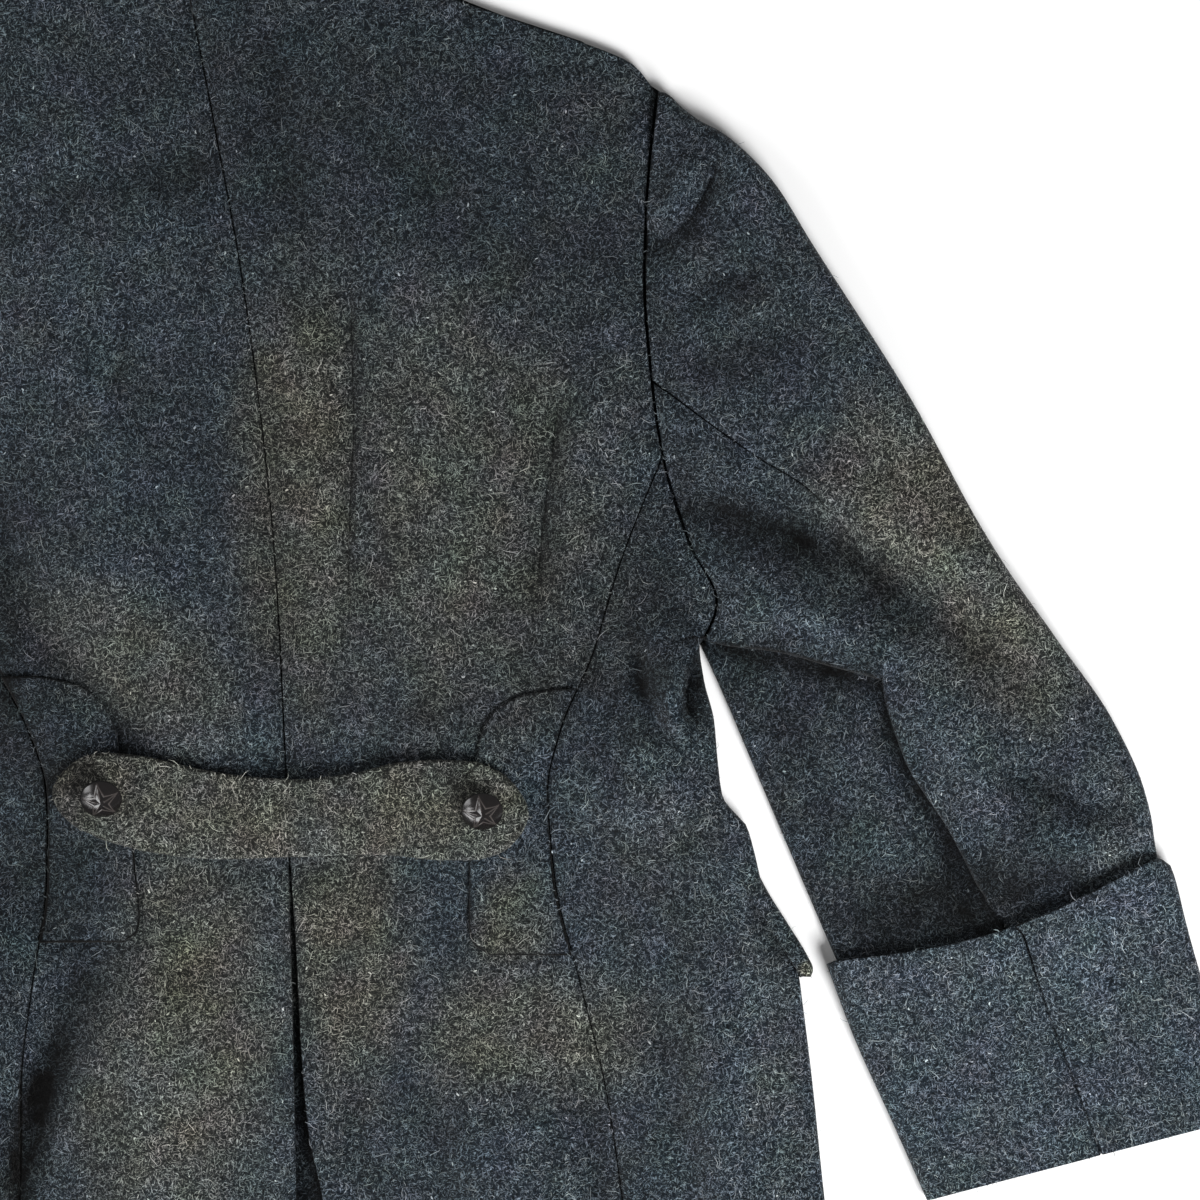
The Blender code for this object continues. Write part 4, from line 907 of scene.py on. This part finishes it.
def sewn_flat(down):
    """From 1 to 0 along the upper hind arm seam, from where it shows to where the nap covers it."""
    return 1 - ease((down - SEWN_TO) / SEWN_EASE)


def seam_gap(down):
    """How open that seam is along it."""
    return mix(SEAM_CLOSED, 1.0, sewn_flat(down))


def fore_seam(share, cuff_share):
    along = curve(((0, 0), (cuff_share, FORE_SEAM_CUFF), (1, 1)))(share)[:, None]
    return mix(np.array(FORE_SEAM[0]), np.array(FORE_SEAM[1]), along)


def top_sleeve(side):
    """Points of the top sleeve, from the seam that shows, round the outer edge, to the seam underneath."""
    share = steps(0.0, 4, 0.006, 60, 0.22, 40, 0.5, 60, 1.0)
    lower = share >= 0.5
    outer = follow(SLEEVE_OUTER, share)
    seam = np.where(lower[:, None], follow(HIND_SEAM_LOWER, np.maximum(share * 2 - 1, 0)),
                    follow(HIND_SEAM_UPPER, np.minimum(share * 2, 1)))
    under = fore_seam(share, CUFF_SHARES[0])
    flat = flat_end(outer, seam, high_sleeve)
    inward = unit(outer - seam)
    sewn = seam + inward * (SEAM / 2 * seam_gap(share * 2))[:, None]
    columns = steps(0.0, 5, 0.03, 52, 1.0)[None, :, None]
    above = sewn_to_armhole(mix(sewn[:, None], flat[:, None], columns), share, ARMHOLE_GAP / 2)
    inset = under + unit(flat - under) * SEAM
    below = mix(flat[:, None], inset[:, None], np.linspace(0, 1, 10)[None, :, None])
    below = sewn_to_armhole(below, share, UNDER_ARMHOLE_SEAM + SEAM / 2)
    edge = sewn_to_armhole(outer[:, None].copy(), share, ARMHOLE_GAP / 2)[:, 0]
    radius = overhang(above[:, 0]) * ease((share - 0.5) / 0.03)
    from_seam = np.linalg.norm(above - above[:, :1], axis=-1)
    height = high_sleeve(above) + seam_dip(from_seam) * sewn_flat(share * 2)[:, None]
    angles = np.radians((180, 150, 120, 90, 65, 40, 20))
    places, heights = roll(above[:, 0], -inward, radius, height[:, 0], angles)
    rolled = np.stack([on_sleeve(side, p, h) for p, h in zip(places, heights)], axis=1)
    top = on_sleeve(side, above, height)
    turn = sleeve_turn(side, above[:, -1], edge, high_sleeve)
    floor = on_sleeve(side, below, floor_sleeve(below))
    return [np.concatenate((rolled, top[:, :-1], turn[:, ::-1], floor[:, 1:]), axis=1)]


def under_sleeve(side):
    """Points of the under sleeve: above its fold, round the fold, below it, and round the inner edge."""
    part = steps(0.0, 4, 0.03, 30, 0.97, 4, 1.0)
    down = np.linspace(0, 1, 46)
    level = curve(UNDER_ARMHOLE)(down)
    start = np.stack((armhole(level) + ARMHOLE_GAP / 2, level), axis=-1)
    seam = follow(HIND_SEAM_UPPER, down)
    toward = seam - start
    length = np.maximum(np.linalg.norm(toward, axis=1, keepdims=True), 1e-9)
    end = seam - toward / length * (SEAM / 2 * seam_gap(down))[:, None]
    end[0] = start[0]
    place = mix(start[:, None], end[:, None], part[None, :, None])
    fold = follow(SLEEVE_FOLD, part)
    middle = ease(part / FOLD_BEND_FORE) * ease((1 - part) / FOLD_BEND_HIND)
    place = mix(place, fold[None], (ease(down)[:, None] * middle[None, :])[..., None])
    at_armhole = seam_dip(part[None, :] * length) * (1 - ease((down - 0.9) / 0.1))[:, None]
    at_seam = seam_dip((1 - part)[None, :] * length) * sewn_flat(down)[:, None]
    upper_height = high_sleeve(place) + at_armhole + at_seam
    upper = on_sleeve(side, place, upper_height)
    tangent = unit(np.gradient(place[-1], axis=0))
    away = np.stack((tangent[:, 1], -tangent[:, 0]), axis=-1)
    angles = np.radians((20, 40, 65, 90, 120, 150, 180))
    places, heights = roll(place[-1], away, overhang(place[-1]), upper_height[-1], angles)
    rolled = np.stack([on_sleeve(side, p, h) for p, h in zip(places, heights)])

    share = np.linspace(0, 1, 70)
    inner = follow(SLEEVE_INNER, share)
    seam = follow(HIND_SEAM_LOWER, share)
    toward = unit(inner - seam)
    flat = flat_end(inner, seam, low_sleeve)
    tucked = seam - toward * (FOLD_TUCK * overhang(seam))[:, None]
    lower = mix(flat[:, None], tucked[:, None], part[None, :, None])
    lower[..., 1] += ARMPIT_RAISE * ((1 - share) ** 8)[:, None] * ease(part / 0.2)[None, :]
    lower_points = on_sleeve(side, lower, low_sleeve(lower))
    turn = sleeve_turn(side, flat, inner, low_sleeve)
    under = fore_seam(share, CUFF_SHARES[1])
    inset = under + unit(flat - under) * 3 * SEAM
    below = mix(inset[:, None], flat[:, None], np.linspace(0, 1, 8)[None, :, None])
    last = below[:, -1].copy()
    below = sewn_to_armhole(below, share, UNDER_ARMHOLE_SEAM + SEAM / 2)
    below[:, -1] = last
    floor = on_sleeve(side, below, floor_sleeve(below))
    return [np.concatenate((upper, rolled, lower_points)), np.concatenate((floor[:, :-1], turn), axis=1)]


def cuff(side):
    """Points of the turned back cuff, one strip round the sleeve that meets itself at a seam."""
    share = steps(0.0, 4, 0.02, 29, 0.98, 4, 1.0)
    outer = follow(CUFF_OUTER, share)
    inner = follow(CUFF_INNER, share)
    top = CUFF_TOP_MID + CUFF_FLARE * (1 - ease(share * 3))
    across = unit(outer - inner)
    down = np.stack((across[:, 1], -across[:, 0]), axis=-1)
    half = ((top - FLOOR_MID) / 2 + CLOTH / 2)[:, None]
    flat_outer = outer - across * half
    flat_inner = inner + across * half

    def sheet(part):
        place = mix(flat_inner[:, None], flat_outer[:, None], part[None, :, None])
        dip = CUFF_DIP * np.sin(np.pi * part)[None, :] * (1 - share)[:, None]
        place = place + down[:, None] * dip[..., None]
        width = np.linalg.norm(flat_outer - flat_inner, axis=1)[:, None]
        z = top[:, None] + relief((), CUFF_CREASES, place[..., 0], place[..., 1])
        z = z + seam_dip(np.abs(part[None, :] - CUFF_SEAM) * width)
        z = mix(top[:, None], z, ease(np.minimum(part, 1 - part) / CUFF_EDGE_EASE)[None, :])
        return on_sleeve(side, place, z)

    def turn(flat, outward):
        low = on_sleeve(side, flat, FLOOR_MID)
        high = on_sleeve(side, flat, top)
        ahead = on_sleeve(side, flat + outward, FLOOR_MID) - low
        return turned_edge(low, high, unit(ahead))

    from_seam = steps(0.0, 8, 0.06, 26, 1.0)
    inner_half = sheet(mix(CUFF_SEAM - CUFF_SEAM_GAP, 0.0, from_seam))
    outer_half = sheet(mix(CUFF_SEAM + CUFF_SEAM_GAP, 1.0, from_seam)[::-1])
    floor = mix(flat_inner[:, None], flat_outer[:, None], np.linspace(0, 1, 12)[None, 1:-1, None])
    floor = on_sleeve(side, floor, FLOOR_MID)
    inner_turn = turn(flat_inner, -across)[:, ::-1]
    outer_turn = turn(flat_outer, across)
    return [np.concatenate((inner_half[:, :-1], inner_turn, floor, outer_turn, outer_half[:, 1:]), axis=1)]


# What lies on the body


def tail_flap(side):
    """Plan and height of a flap sewn into the side back seam."""
    inwards, upwards = LEFT_FLAP_SHIFT if side < 0 else (0.0, 0.0)
    bend = np.sin(np.linspace(-np.pi / 2, np.pi / 2, 96))
    level = mix(TAIL_FLAP[0][0], TAIL_FLAP[-1][0], (bend + 1) / 2)[:, None]
    free = curve(TAIL_FLAP)(level) - inwards
    y = level + upwards
    sewn = side_seam(y) - SEAM / 2
    share = (1 - np.cos(np.linspace(0, np.pi, 40)))[None, :] / 2
    x = mirrored(side, mix(free, sewn, share), y)
    y = np.broadcast_to(y, x.shape)
    return x, y, back_height(x, y) + LAYER + LIE - FLAP_SINK - TUCK_DOWN * tucked(side, x, y)


def belt_height(x, y):
    """Middle of the half belt, which lies on the back and rises over the flaps."""
    around = [back_height(x + dx, y + dy) for dx in BELT_ACROSS for dy in BELT_UP]
    over_flap = ease((np.abs(x - BELT_MIDDLE) - BELT_ON_FLAP) / BELT_ON_EASE)
    lift = (LAYER - FLAP_SINK) * over_flap + CLOTH / 2 + LIE + BELT_AIR + BELT_CLOTH / 2
    return np.mean(around, axis=0) + lift


def half_belt():
    lengthways = np.sin(np.linspace(-np.pi / 2, np.pi / 2, 190))
    x = mix(BELT[0][0], BELT[-1][0], (lengthways + 1) / 2)[:, None]
    across = np.sin(np.linspace(-np.pi / 2, np.pi / 2, 34))[None, :]
    y = curve(BELT)(x) + curve([(row[0], row[2]) for row in BELT])(x) * across
    x = np.broadcast_to(x, y.shape)
    return x, y, belt_height(x, y)


def pocket_flap(side):
    """Points of a pocket flap: on the floor, round the side, and its narrow rear end on top of it."""
    rows = np.array(POCKET_FLAP)
    y = np.linspace(rows[0, 0], rows[-1, 0], 44)[:, None]
    rear, outline, fore = (mirrored(side, curve(rows[:, (0, k)].tolist())(y), y) for k in (1, 2, 3))
    fold = mirrored(side, side_fold(y) - EDGE_INSET, y)
    high = back_height(fold, y) + LAYER * ease((rows[0, 0] - y) / POCKET_FLAP_RISE)
    flat = outline - side * ((high - FLOOR_MID) / 2 + CLOTH / 2)
    outward = np.array((float(side), 0.0, 0.0))
    low_point = points(flat, y, FLOOR_MID)[:, 0]
    high_point = points(flat, y, high)[:, 0]
    floor = points(mix(fore, flat, np.linspace(0, 1, 8)[None, :-1]), y, FLOOR_MID)
    above = points(mix(flat, rear, np.linspace(0, 1, 8)[None, 1:]), y, high)
    return [np.concatenate((floor, turned_edge(low_point, high_point, outward), above), axis=1)]


def star(radius, angle):
    """A raised star: the height of its facets, and from 0 to 1 how near places are to its raised lines."""
    turn = math.pi / STAR_POINTS
    off = np.abs((angle + STAR_TURN + turn) % (2 * turn) - turn)
    across = STAR_REACH * np.sin(off) + STAR_NOTCH * np.sin(turn - off)
    edge = STAR_REACH * STAR_NOTCH * math.sin(turn) / across
    facet = STAR_RISE * np.maximum(0.0, 1 - radius / edge)
    ridge = np.exp(-((radius * off / STAR_LINE_WIDTH) ** 2)) * (radius < STAR_REACH) * (radius > STAR_CLEAR)
    outline = np.exp(-(((radius - edge) / STAR_LINE_WIDTH) ** 2))
    return facet, np.maximum(STAR_RIDGE * ridge, outline)


def button(name, x, y, lean):
    """A domed button with a star on a shank, its face leaning towards the hem."""
    lean = math.radians(lean)
    drop = BUTTON_RADIUS * math.sin(lean)
    shank = drop / math.cos(lean) - SHANK_RADIUS * math.tan(lean)
    ring = np.linspace(0, 1, 46)[:, None]
    angle = np.linspace(0, 2 * np.pi, 181)[None, :]

    def rounds(out, height):
        return points(np.sin(angle) * out * BUTTON_RADIUS, np.cos(angle) * out * BUTTON_RADIUS, height)

    facet, lines = star(ring, angle)
    dome = BUTTON_DOME * (1 - ring**2.4) + facet + STAR_LINE_RISE * lines
    stem = SHANK_RADIUS / BUTTON_RADIUS
    # Rim, underside and shank: (share of the radius, height)
    below = (
        (1.02, -0.0005), (1.02, -0.0012), (0.98, -BUTTON_RIM), (stem, -BUTTON_RIM),
        (stem, -BUTTON_RIM - shank), (0.0, -BUTTON_RIM - shank),
    )
    grid = np.concatenate((rounds(ring, dome), *(rounds(out, height) for out, height in below)))
    grid[:, -1] = grid[:, 0]
    upright, faces = weld([grid])
    across, up, out = upright.T
    c, s = math.cos(lean), math.sin(lean)
    turned = points(across, up * c - out * s, up * s + out * c)
    stand = float(belt_height(np.array([x]), np.array([y]))[0]) + BELT_CLOTH / 2
    rise = drop + BUTTON_RIM * math.cos(lean) + LIE
    turned = turned + np.array((x, y, stand + rise))
    made = piece(f"{name}_moulded", turned, faces, phenolic)
    # the star's lines and outline are painted pale as highlights
    set_attributes(made, worn=star(np.hypot(across, up) / BUTTON_RADIUS, np.arctan2(across, up))[1])
    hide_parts(name)


# Finishes


def linear(colour):
    """An sRGB hex colour as linear light."""
    parts = [int(colour[k:k + 2], 16) / 255 for k in (1, 3, 5)]
    return (*(p / 12.92 if p <= 0.04045 else ((p + 0.055) / 1.055) ** 2.4 for p in parts), 1.0)


def node(tree, kind, inputs, **settings):
    """Adds a node with its settings, and sets or links its inputs."""
    made = tree.nodes.new(kind)
    for key, value in settings.items():
        setattr(made, key, value)
    for key, value in inputs.items():
        if isinstance(value, bpy.types.NodeSocket):
            tree.links.new(value, made.inputs[key])
        else:
            made.inputs[key].default_value = value
    return made


def new_finish(name):
    made = bpy.data.materials.new(name)
    made.use_nodes = True
    return made, made.node_tree, made.node_tree.nodes["Principled BSDF"]


def places(tree):
    return node(tree, "ShaderNodeTexCoord", {}).outputs["Object"]


def attribute(tree, name):
    return node(tree, "ShaderNodeAttribute", {}, attribute_name=name).outputs["Fac"]


def noise(tree, place, size, detail):
    """Soft spots of about this size, in metres where place is."""
    return node(tree, "ShaderNodeTexNoise", {"Vector": place, "Scale": 1 / size, "Detail": detail})


def blend(tree, share, first, second):
    return node(tree, "ShaderNodeMix", {0: share, 6: first, 7: second}, data_type="RGBA").outputs[2]


def spread(tree, value, *ends, clamp=True):
    """A value from between two ends, drawn out to 0 to 1 or to two more ends."""
    inputs = dict(enumerate((value, *ends)))
    return node(tree, "ShaderNodeMapRange", inputs, clamp=clamp).outputs[0]


def add_to(tree, base, value, times):
    """The base with a value added so many times."""
    return node(tree, "ShaderNodeMath", {0: value, 1: times, 2: base}, operation="MULTIPLY_ADD").outputs[0]


def heather(tree, place, shades):
    """Mixed dyed wool: patches of a cool and a warm shade, unevenly dyed, and darker where stains and painted
    shade lie.
    """
    cloud = noise(tree, place, 0.030, 4.0).outputs[0]
    blotch = noise(tree, place, 0.016, 5.0).outputs[0]
    browned = spread(tree, add_to(tree, attribute(tree, "brown"), cloud, 0.9), 0.50, 1.45)
    tint = blend(tree, browned, *shades)
    dye = noise(tree, place, 0.026, 3.0).outputs["Color"]
    uneven_dye = node(tree, "ShaderNodeVectorMath", {0: dye, 1: (0.32,) * 3, 2: (0.84,) * 3},
                      operation="MULTIPLY_ADD").outputs[0]
    tint = node(tree, "ShaderNodeVectorMath", {0: tint, 1: uneven_dye}, operation="MULTIPLY").outputs[0]
    # darker where stains and painted shade lie, and in random patches
    patchy = add_to(tree, attribute(tree, "dark"), blotch, -1.4)
    stain_and_shade_factor = spread(tree, patchy, -0.70, 0.30, 1.0, 0.30, clamp=False)
    return node(tree, "ShaderNodeVectorMath", {0: tint, "Scale": stain_and_shade_factor}, operation="SCALE").outputs[0]


def milled_wool_melton(name):
    """Melton is fulled and brushed wool: no weave shows, only a felt of short curly fibres of mixed greys."""
    made, tree, shader = new_finish(name)
    place = places(tree)
    curl = noise(tree, place, 0.0032, 2.0).outputs["Color"]
    bent = node(tree, "ShaderNodeVectorMath", {0: curl, 1: (0.0026,) * 3, 2: place},
                operation="MULTIPLY_ADD").outputs[0]
    strands = None
    # Strands: (turn in degrees, length, width). Real fibres are about 0.03 mm thick, too fine to show, so
    # these are drawn coarser
    for turn, length, width in (
        (8, 0.0030, 0.0005), (52, 0.0026, 0.0005), (97, 0.0032, 0.0006), (143, 0.0028, 0.0005),
    ):
        laid = node(tree, "ShaderNodeMapping", {"Vector": bent, "Rotation": (0, 0, math.radians(turn)),
                    "Location": (turn, 0, 0), "Scale": (length, width, length)}, vector_type="TEXTURE")
        shown = spread(tree, noise(tree, laid.outputs[0], 1.0, 1.0).outputs[0], 0.62, 0.75)
        if strands is None:
            strands = shown
        else:
            strands = node(tree, "ShaderNodeMath", {0: strands, 1: shown}, operation="MAXIMUM").outputs[0]
    grain = noise(tree, place, 0.0014, 3.0).outputs[0]
    ground = spread(tree, grain, 0.36, 0.66)
    shades = []
    for deep, mid, pale in (("#05080b", "#182027", "#76838d"), ("#080806", "#22231f", "#909186")):
        under = blend(tree, ground, linear(deep), linear(mid))
        shades.append(blend(tree, strands, under, linear(pale)))
    shade = heather(tree, place, shades)
    pile = add_to(tree, grain, strands, 0.6)
    bump = node(tree, "ShaderNodeBump", {"Height": pile, "Strength": 0.8, "Distance": 0.0007}).outputs[0]
    tree.links.new(shade, shader.inputs["Base Color"])
    tree.links.new(bump, shader.inputs["Normal"])
    shader.inputs["Roughness"].default_value = 0.92
    shader.inputs["Specular IOR Level"].default_value = 0.25
    shader.inputs["Sheen Weight"].default_value = 0.06
    shader.inputs["Sheen Roughness"].default_value = 0.5
    return made


def loose_wool(name):
    """Single wool fibres that stand out of the nap, dull, from grey to nearly white."""
    made, tree, shader = new_finish(name)
    pale = attribute(tree, "pale")
    shades = []
    for deep, bright in (("#1a2127", "#a3adb2"), ("#262621", "#b2b2a8")):
        shades.append(blend(tree, pale, linear(deep), linear(bright)))
    tree.links.new(heather(tree, places(tree), shades), shader.inputs["Base Color"])
    shader.inputs["Roughness"].default_value = 0.8
    shader.inputs["Specular IOR Level"].default_value = 0.2
    return made


def moulded_phenolic(name):
    """Dark brown phenolic, moulded and polished: a haze of handling, and pale lines painted on its star as
    highlights.
    """
    made, tree, shader = new_finish(name)
    haze = noise(tree, places(tree), 0.003, 4.0).outputs[0]
    tint = blend(tree, haze, linear("#070606"), linear("#151111"))
    # painted highlights along the star's lines and outline
    tint = blend(tree, attribute(tree, "worn"), tint, linear("#443f3d"))
    rough = spread(tree, haze, 0.3, 0.8, 0.14, 0.30)
    bump = node(tree, "ShaderNodeBump", {"Height": haze, "Strength": 0.15, "Distance": 0.0002}).outputs[0]
    tree.links.new(tint, shader.inputs["Base Color"])
    tree.links.new(rough, shader.inputs["Roughness"])
    tree.links.new(bump, shader.inputs["Normal"])
    shader.inputs["IOR"].default_value = 1.6
    return made


melton = milled_wool_melton("milled_wool_melton")
fibres = loose_wool("loose_wool_fibres")
phenolic = moulded_phenolic("moulded_dark_phenolic")


# The coat

NAP_LOWEST = 0.0044  # cloth below this lies underneath and gets no fibres
NAP_SLOPE = 0.3  # nor does cloth whose normal rises less than this
RIBBON_POINTS = 8
FIBRE_BEND = 0.45  # in radians at each third of a fibre, always the same way
FIBRE_KINK = 0.5  # and either way
# Fibres: name, count, seed, from and to for length, width and lift, and the spread of how pale they are
NAP = (
    ("nap_fibres_short", 32000, 3, (0.0014, 0.0030), (0.00022, 0.00036), (0.00005, 0.0003), (0.9, 2.4)),
    ("nap_fibres_middle", 28000, 5, (0.0020, 0.0040), (0.00019, 0.00032), (0.0001, 0.0006), (0.9, 2.2)),
    ("nap_fibres_long", 5000, 7, (0.0045, 0.0095), (0.00018, 0.00028), (0.0002, 0.0010), (2.0, 1.9)),
    ("lint_specks", 500, 11, (0.0008, 0.0024), (0.0005, 0.0010), (0.0002, 0.0006), (9.0, 0.8)),
)
nap_grids = []


def upper_cells(grid, out, lift, base):
    """The cells of a grid that face up: area, a corner on the outer face, two edges, normal, and how stained
    and shaded.

    Cells on the cuff's seam, which has more painted shade than other edges, are left out, so that its line
    shows.
    """
    corner = grid[:-1, :-1].reshape(-1, 3)
    down = grid[1:, :-1].reshape(-1, 3) - corner
    along = grid[:-1, 1:].reshape(-1, 3) - corner
    normal = np.cross(down, along)
    area = np.linalg.norm(normal, axis=1)
    normal = normal / np.maximum(area, 1e-12)[:, None]
    normal *= np.where(normal[:, 2:] < 0, -1, 1)
    x, y = corner.T[:2]
    x, raised, edge_shade = lift(x, y)
    brown, dark = stain_and_shade_at(x, y, raised, base)
    shown = (corner[:, 2] > NAP_LOWEST) & (area > 1e-9) & (normal[:, 2] > NAP_SLOPE) & (edge_shade <= 1.0)
    return [values[shown] for values in (area, corner + normal * out, down, along, normal, brown, dark)]


def nap(cells, name, count, seed, length, width, lift, pale):
    """Curly fibres strewn over cells of cloth, each a narrow ribbon of three faces.

    Real fibres are about 0.03 mm thick, too fine to show, so the ribbons are drawn coarser.
    """
    rng = np.random.default_rng(seed)
    area, *rest = cells
    pick = rng.choice(len(area), count, p=area / area.sum())
    corner, down, along, normal, brown, dark = (values[pick] for values in rest)
    middle = corner + down * rng.random((count, 1)) + along * rng.random((count, 1))
    first = unit(along)
    second = np.cross(normal, first)
    heading = rng.uniform(0, 2 * np.pi, (count, 1))
    bend = rng.normal(0, FIBRE_BEND, (count, 1))
    long = rng.uniform(*length, (count, 1))
    wide = rng.uniform(*width, (count, 1))
    high = rng.uniform(*lift, (count, 1))
    place = middle
    stations = []
    for k, taper in enumerate((0.5, 1.0, 1.0, 0.4)):
        ahead = first * np.cos(heading) + second * np.sin(heading)
        across = first * -np.sin(heading) + second * np.cos(heading)
        up = normal * high * (0.35 + 0.65 * math.sin(math.pi * k / 3))
        stations += [place + across * wide * taper / 2 + up, place - across * wide * taper / 2 + up]
        place = place + ahead * long / 3
        heading = heading + bend + rng.normal(0, FIBRE_KINK, (count, 1))
    vertices = np.stack(stations, axis=1).reshape(-1, 3)
    vertices[:, 2] = np.maximum(vertices[:, 2], LIE)
    start = RIBBON_POINTS * np.arange(count)[:, None, None]
    ribbon = np.array(((0, 1, 3, 2), (2, 3, 5, 4), (4, 5, 7, 6)))
    made = piece(name, vertices, (start + ribbon).reshape(-1, 4).tolist(), fibres)
    # the fibres take the cloth's stains and painted shade
    shades = {"brown": brown, "dark": dark, "pale": rng.beta(*pale, count)}
    set_attributes(made, **{key: value.repeat(RIBBON_POINTS) for key, value in shades.items()})


for side, hand in ((1, "right"), (-1, "left")):
    for part, grids, cut, area, lift, base in (
        ("back", back_panel(side), (0.262, 1.218), 0.220, body_lift, (0.0, 0.0)),
        ("front", front_panel(side), (0.62, 1.175), 0.470, body_lift, (0.0, 0.0)),
        ("top_sleeve", top_sleeve(side), (0.36, 0.64), 0.142, sleeve_lift(side, False), (0.0, 0.0)),
        ("under_sleeve", under_sleeve(side), (0.28, 0.46), 0.054, sleeve_lift(side, True), (0.0, 0.0)),
        ("cuff", cuff(side), (0.43, 0.138), None, cuff_lift(side), (0.0, -0.55)),
        ("pocket_flap", pocket_flap(side), (0.185, 0.060), None, no_lift, (0.0, 0.0)),
    ):
        made = cloth(f"{part}_{hand}", grids, lift, base)
        nap_grids += [(grid, CLOTH / 2, lift, base) for grid in grids]
    x, y, height = tail_flap(side)
    made = turned_in(f"tail_flap_{hand}", x, y, height, CLOTH, (0.0, 0.0), 1.0)
    nap_grids.append((points(x, y, height), CLOTH / 2, no_lift, (0.0, 0.0)))

# the underlap is darker all over: painted shade, as it lies deep in the vent
made = cloth("vent_underlap", vent_underlap(), no_lift, (0.0, 1.0))
made = cloth("collar", collar(), no_lift)
nap_grids += [(grid, CLOTH / 2, no_lift, (0.0, 0.0)) for grid in collar()]
x, y, height = half_belt()
made = turned_in("half_belt", x, y, height, BELT_CLOTH, BELT_STAIN, 0.0)
nap_grids.append((points(x, y, height), BELT_CLOTH / 2, no_lift, BELT_STAIN))
for name, x, y, lean in BUTTONS:
    button(name, x, y, lean)
cells = [np.concatenate(values) for values in zip(*(upper_cells(*entry) for entry in nap_grids))]
for entry in NAP:
    nap(cells, *entry)


# Stage

FRAME_MIDDLE = np.array((0.1548, 0.2049))
FRAME_WIDTH = 0.66
CAMERA_HEIGHT = 4.0
SENSOR = 36.0
FLOOR_HALF = 6
FLOOR_TOP = -0.0003  # just under the coat
FLOOR_CORNERS = ((-1, -1), (1, -1), (1, 1), (-1, 1))

floor_mesh = bpy.data.meshes.new("floor")
floor_points = [(FLOOR_HALF * x, FLOOR_HALF * y, FLOOR_TOP) for x, y in FLOOR_CORNERS]
floor_mesh.from_pydata(floor_points, [], [(0, 1, 2, 3)])
floor = bpy.data.objects.new("floor", floor_mesh)
bpy.context.scene.collection.objects.link(floor)
paper, _, paper_shader = new_finish("matt_white_paper")
paper_shader.inputs["Base Color"].default_value = linear("#f4f4f4")
paper_shader.inputs["Roughness"].default_value = 0.9
floor_mesh.materials.append(paper)


def lamp(name, place, size, power):
    light = bpy.data.lights.new(name, "AREA")
    light.size = size
    light.energy = power
    made = bpy.data.objects.new(name, light)
    bpy.context.scene.collection.objects.link(made)
    made.location = place
    target = Vector((*FRAME_MIDDLE, 0.0))
    made.rotation_euler = (target - Vector(place)).to_track_quat("-Z", "Y").to_euler()
    return made


window = lamp("window_light", (1.55, -1.75, 1.95), 1.4, 152)
window.visible_glossy = False
lamp("side_light", (-2.10, -0.10, 1.50), 1.2, 22)
card = lamp("reflector_card", (-1.20, -1.50, 0.87), 1.4, 46)
card.visible_diffuse = False
world = bpy.data.worlds.new("studio")
world.use_nodes = True
world.node_tree.nodes["Background"].inputs["Color"].default_value = (1, 1, 1, 1)
world.node_tree.nodes["Background"].inputs["Strength"].default_value = 0.22
bpy.context.scene.world = world
bpy.context.scene.view_settings.view_transform = "Standard"

camera = bpy.data.cameras.new("camera")
camera.sensor_width = SENSOR
camera.lens = SENSOR * (CAMERA_HEIGHT - BACK_MID) / FRAME_WIDTH
camera.clip_end = 50
viewer = bpy.data.objects.new("camera", camera)
viewer.location = (*FRAME_MIDDLE, CAMERA_HEIGHT)
bpy.context.scene.collection.objects.link(viewer)
bpy.context.scene.camera = viewer
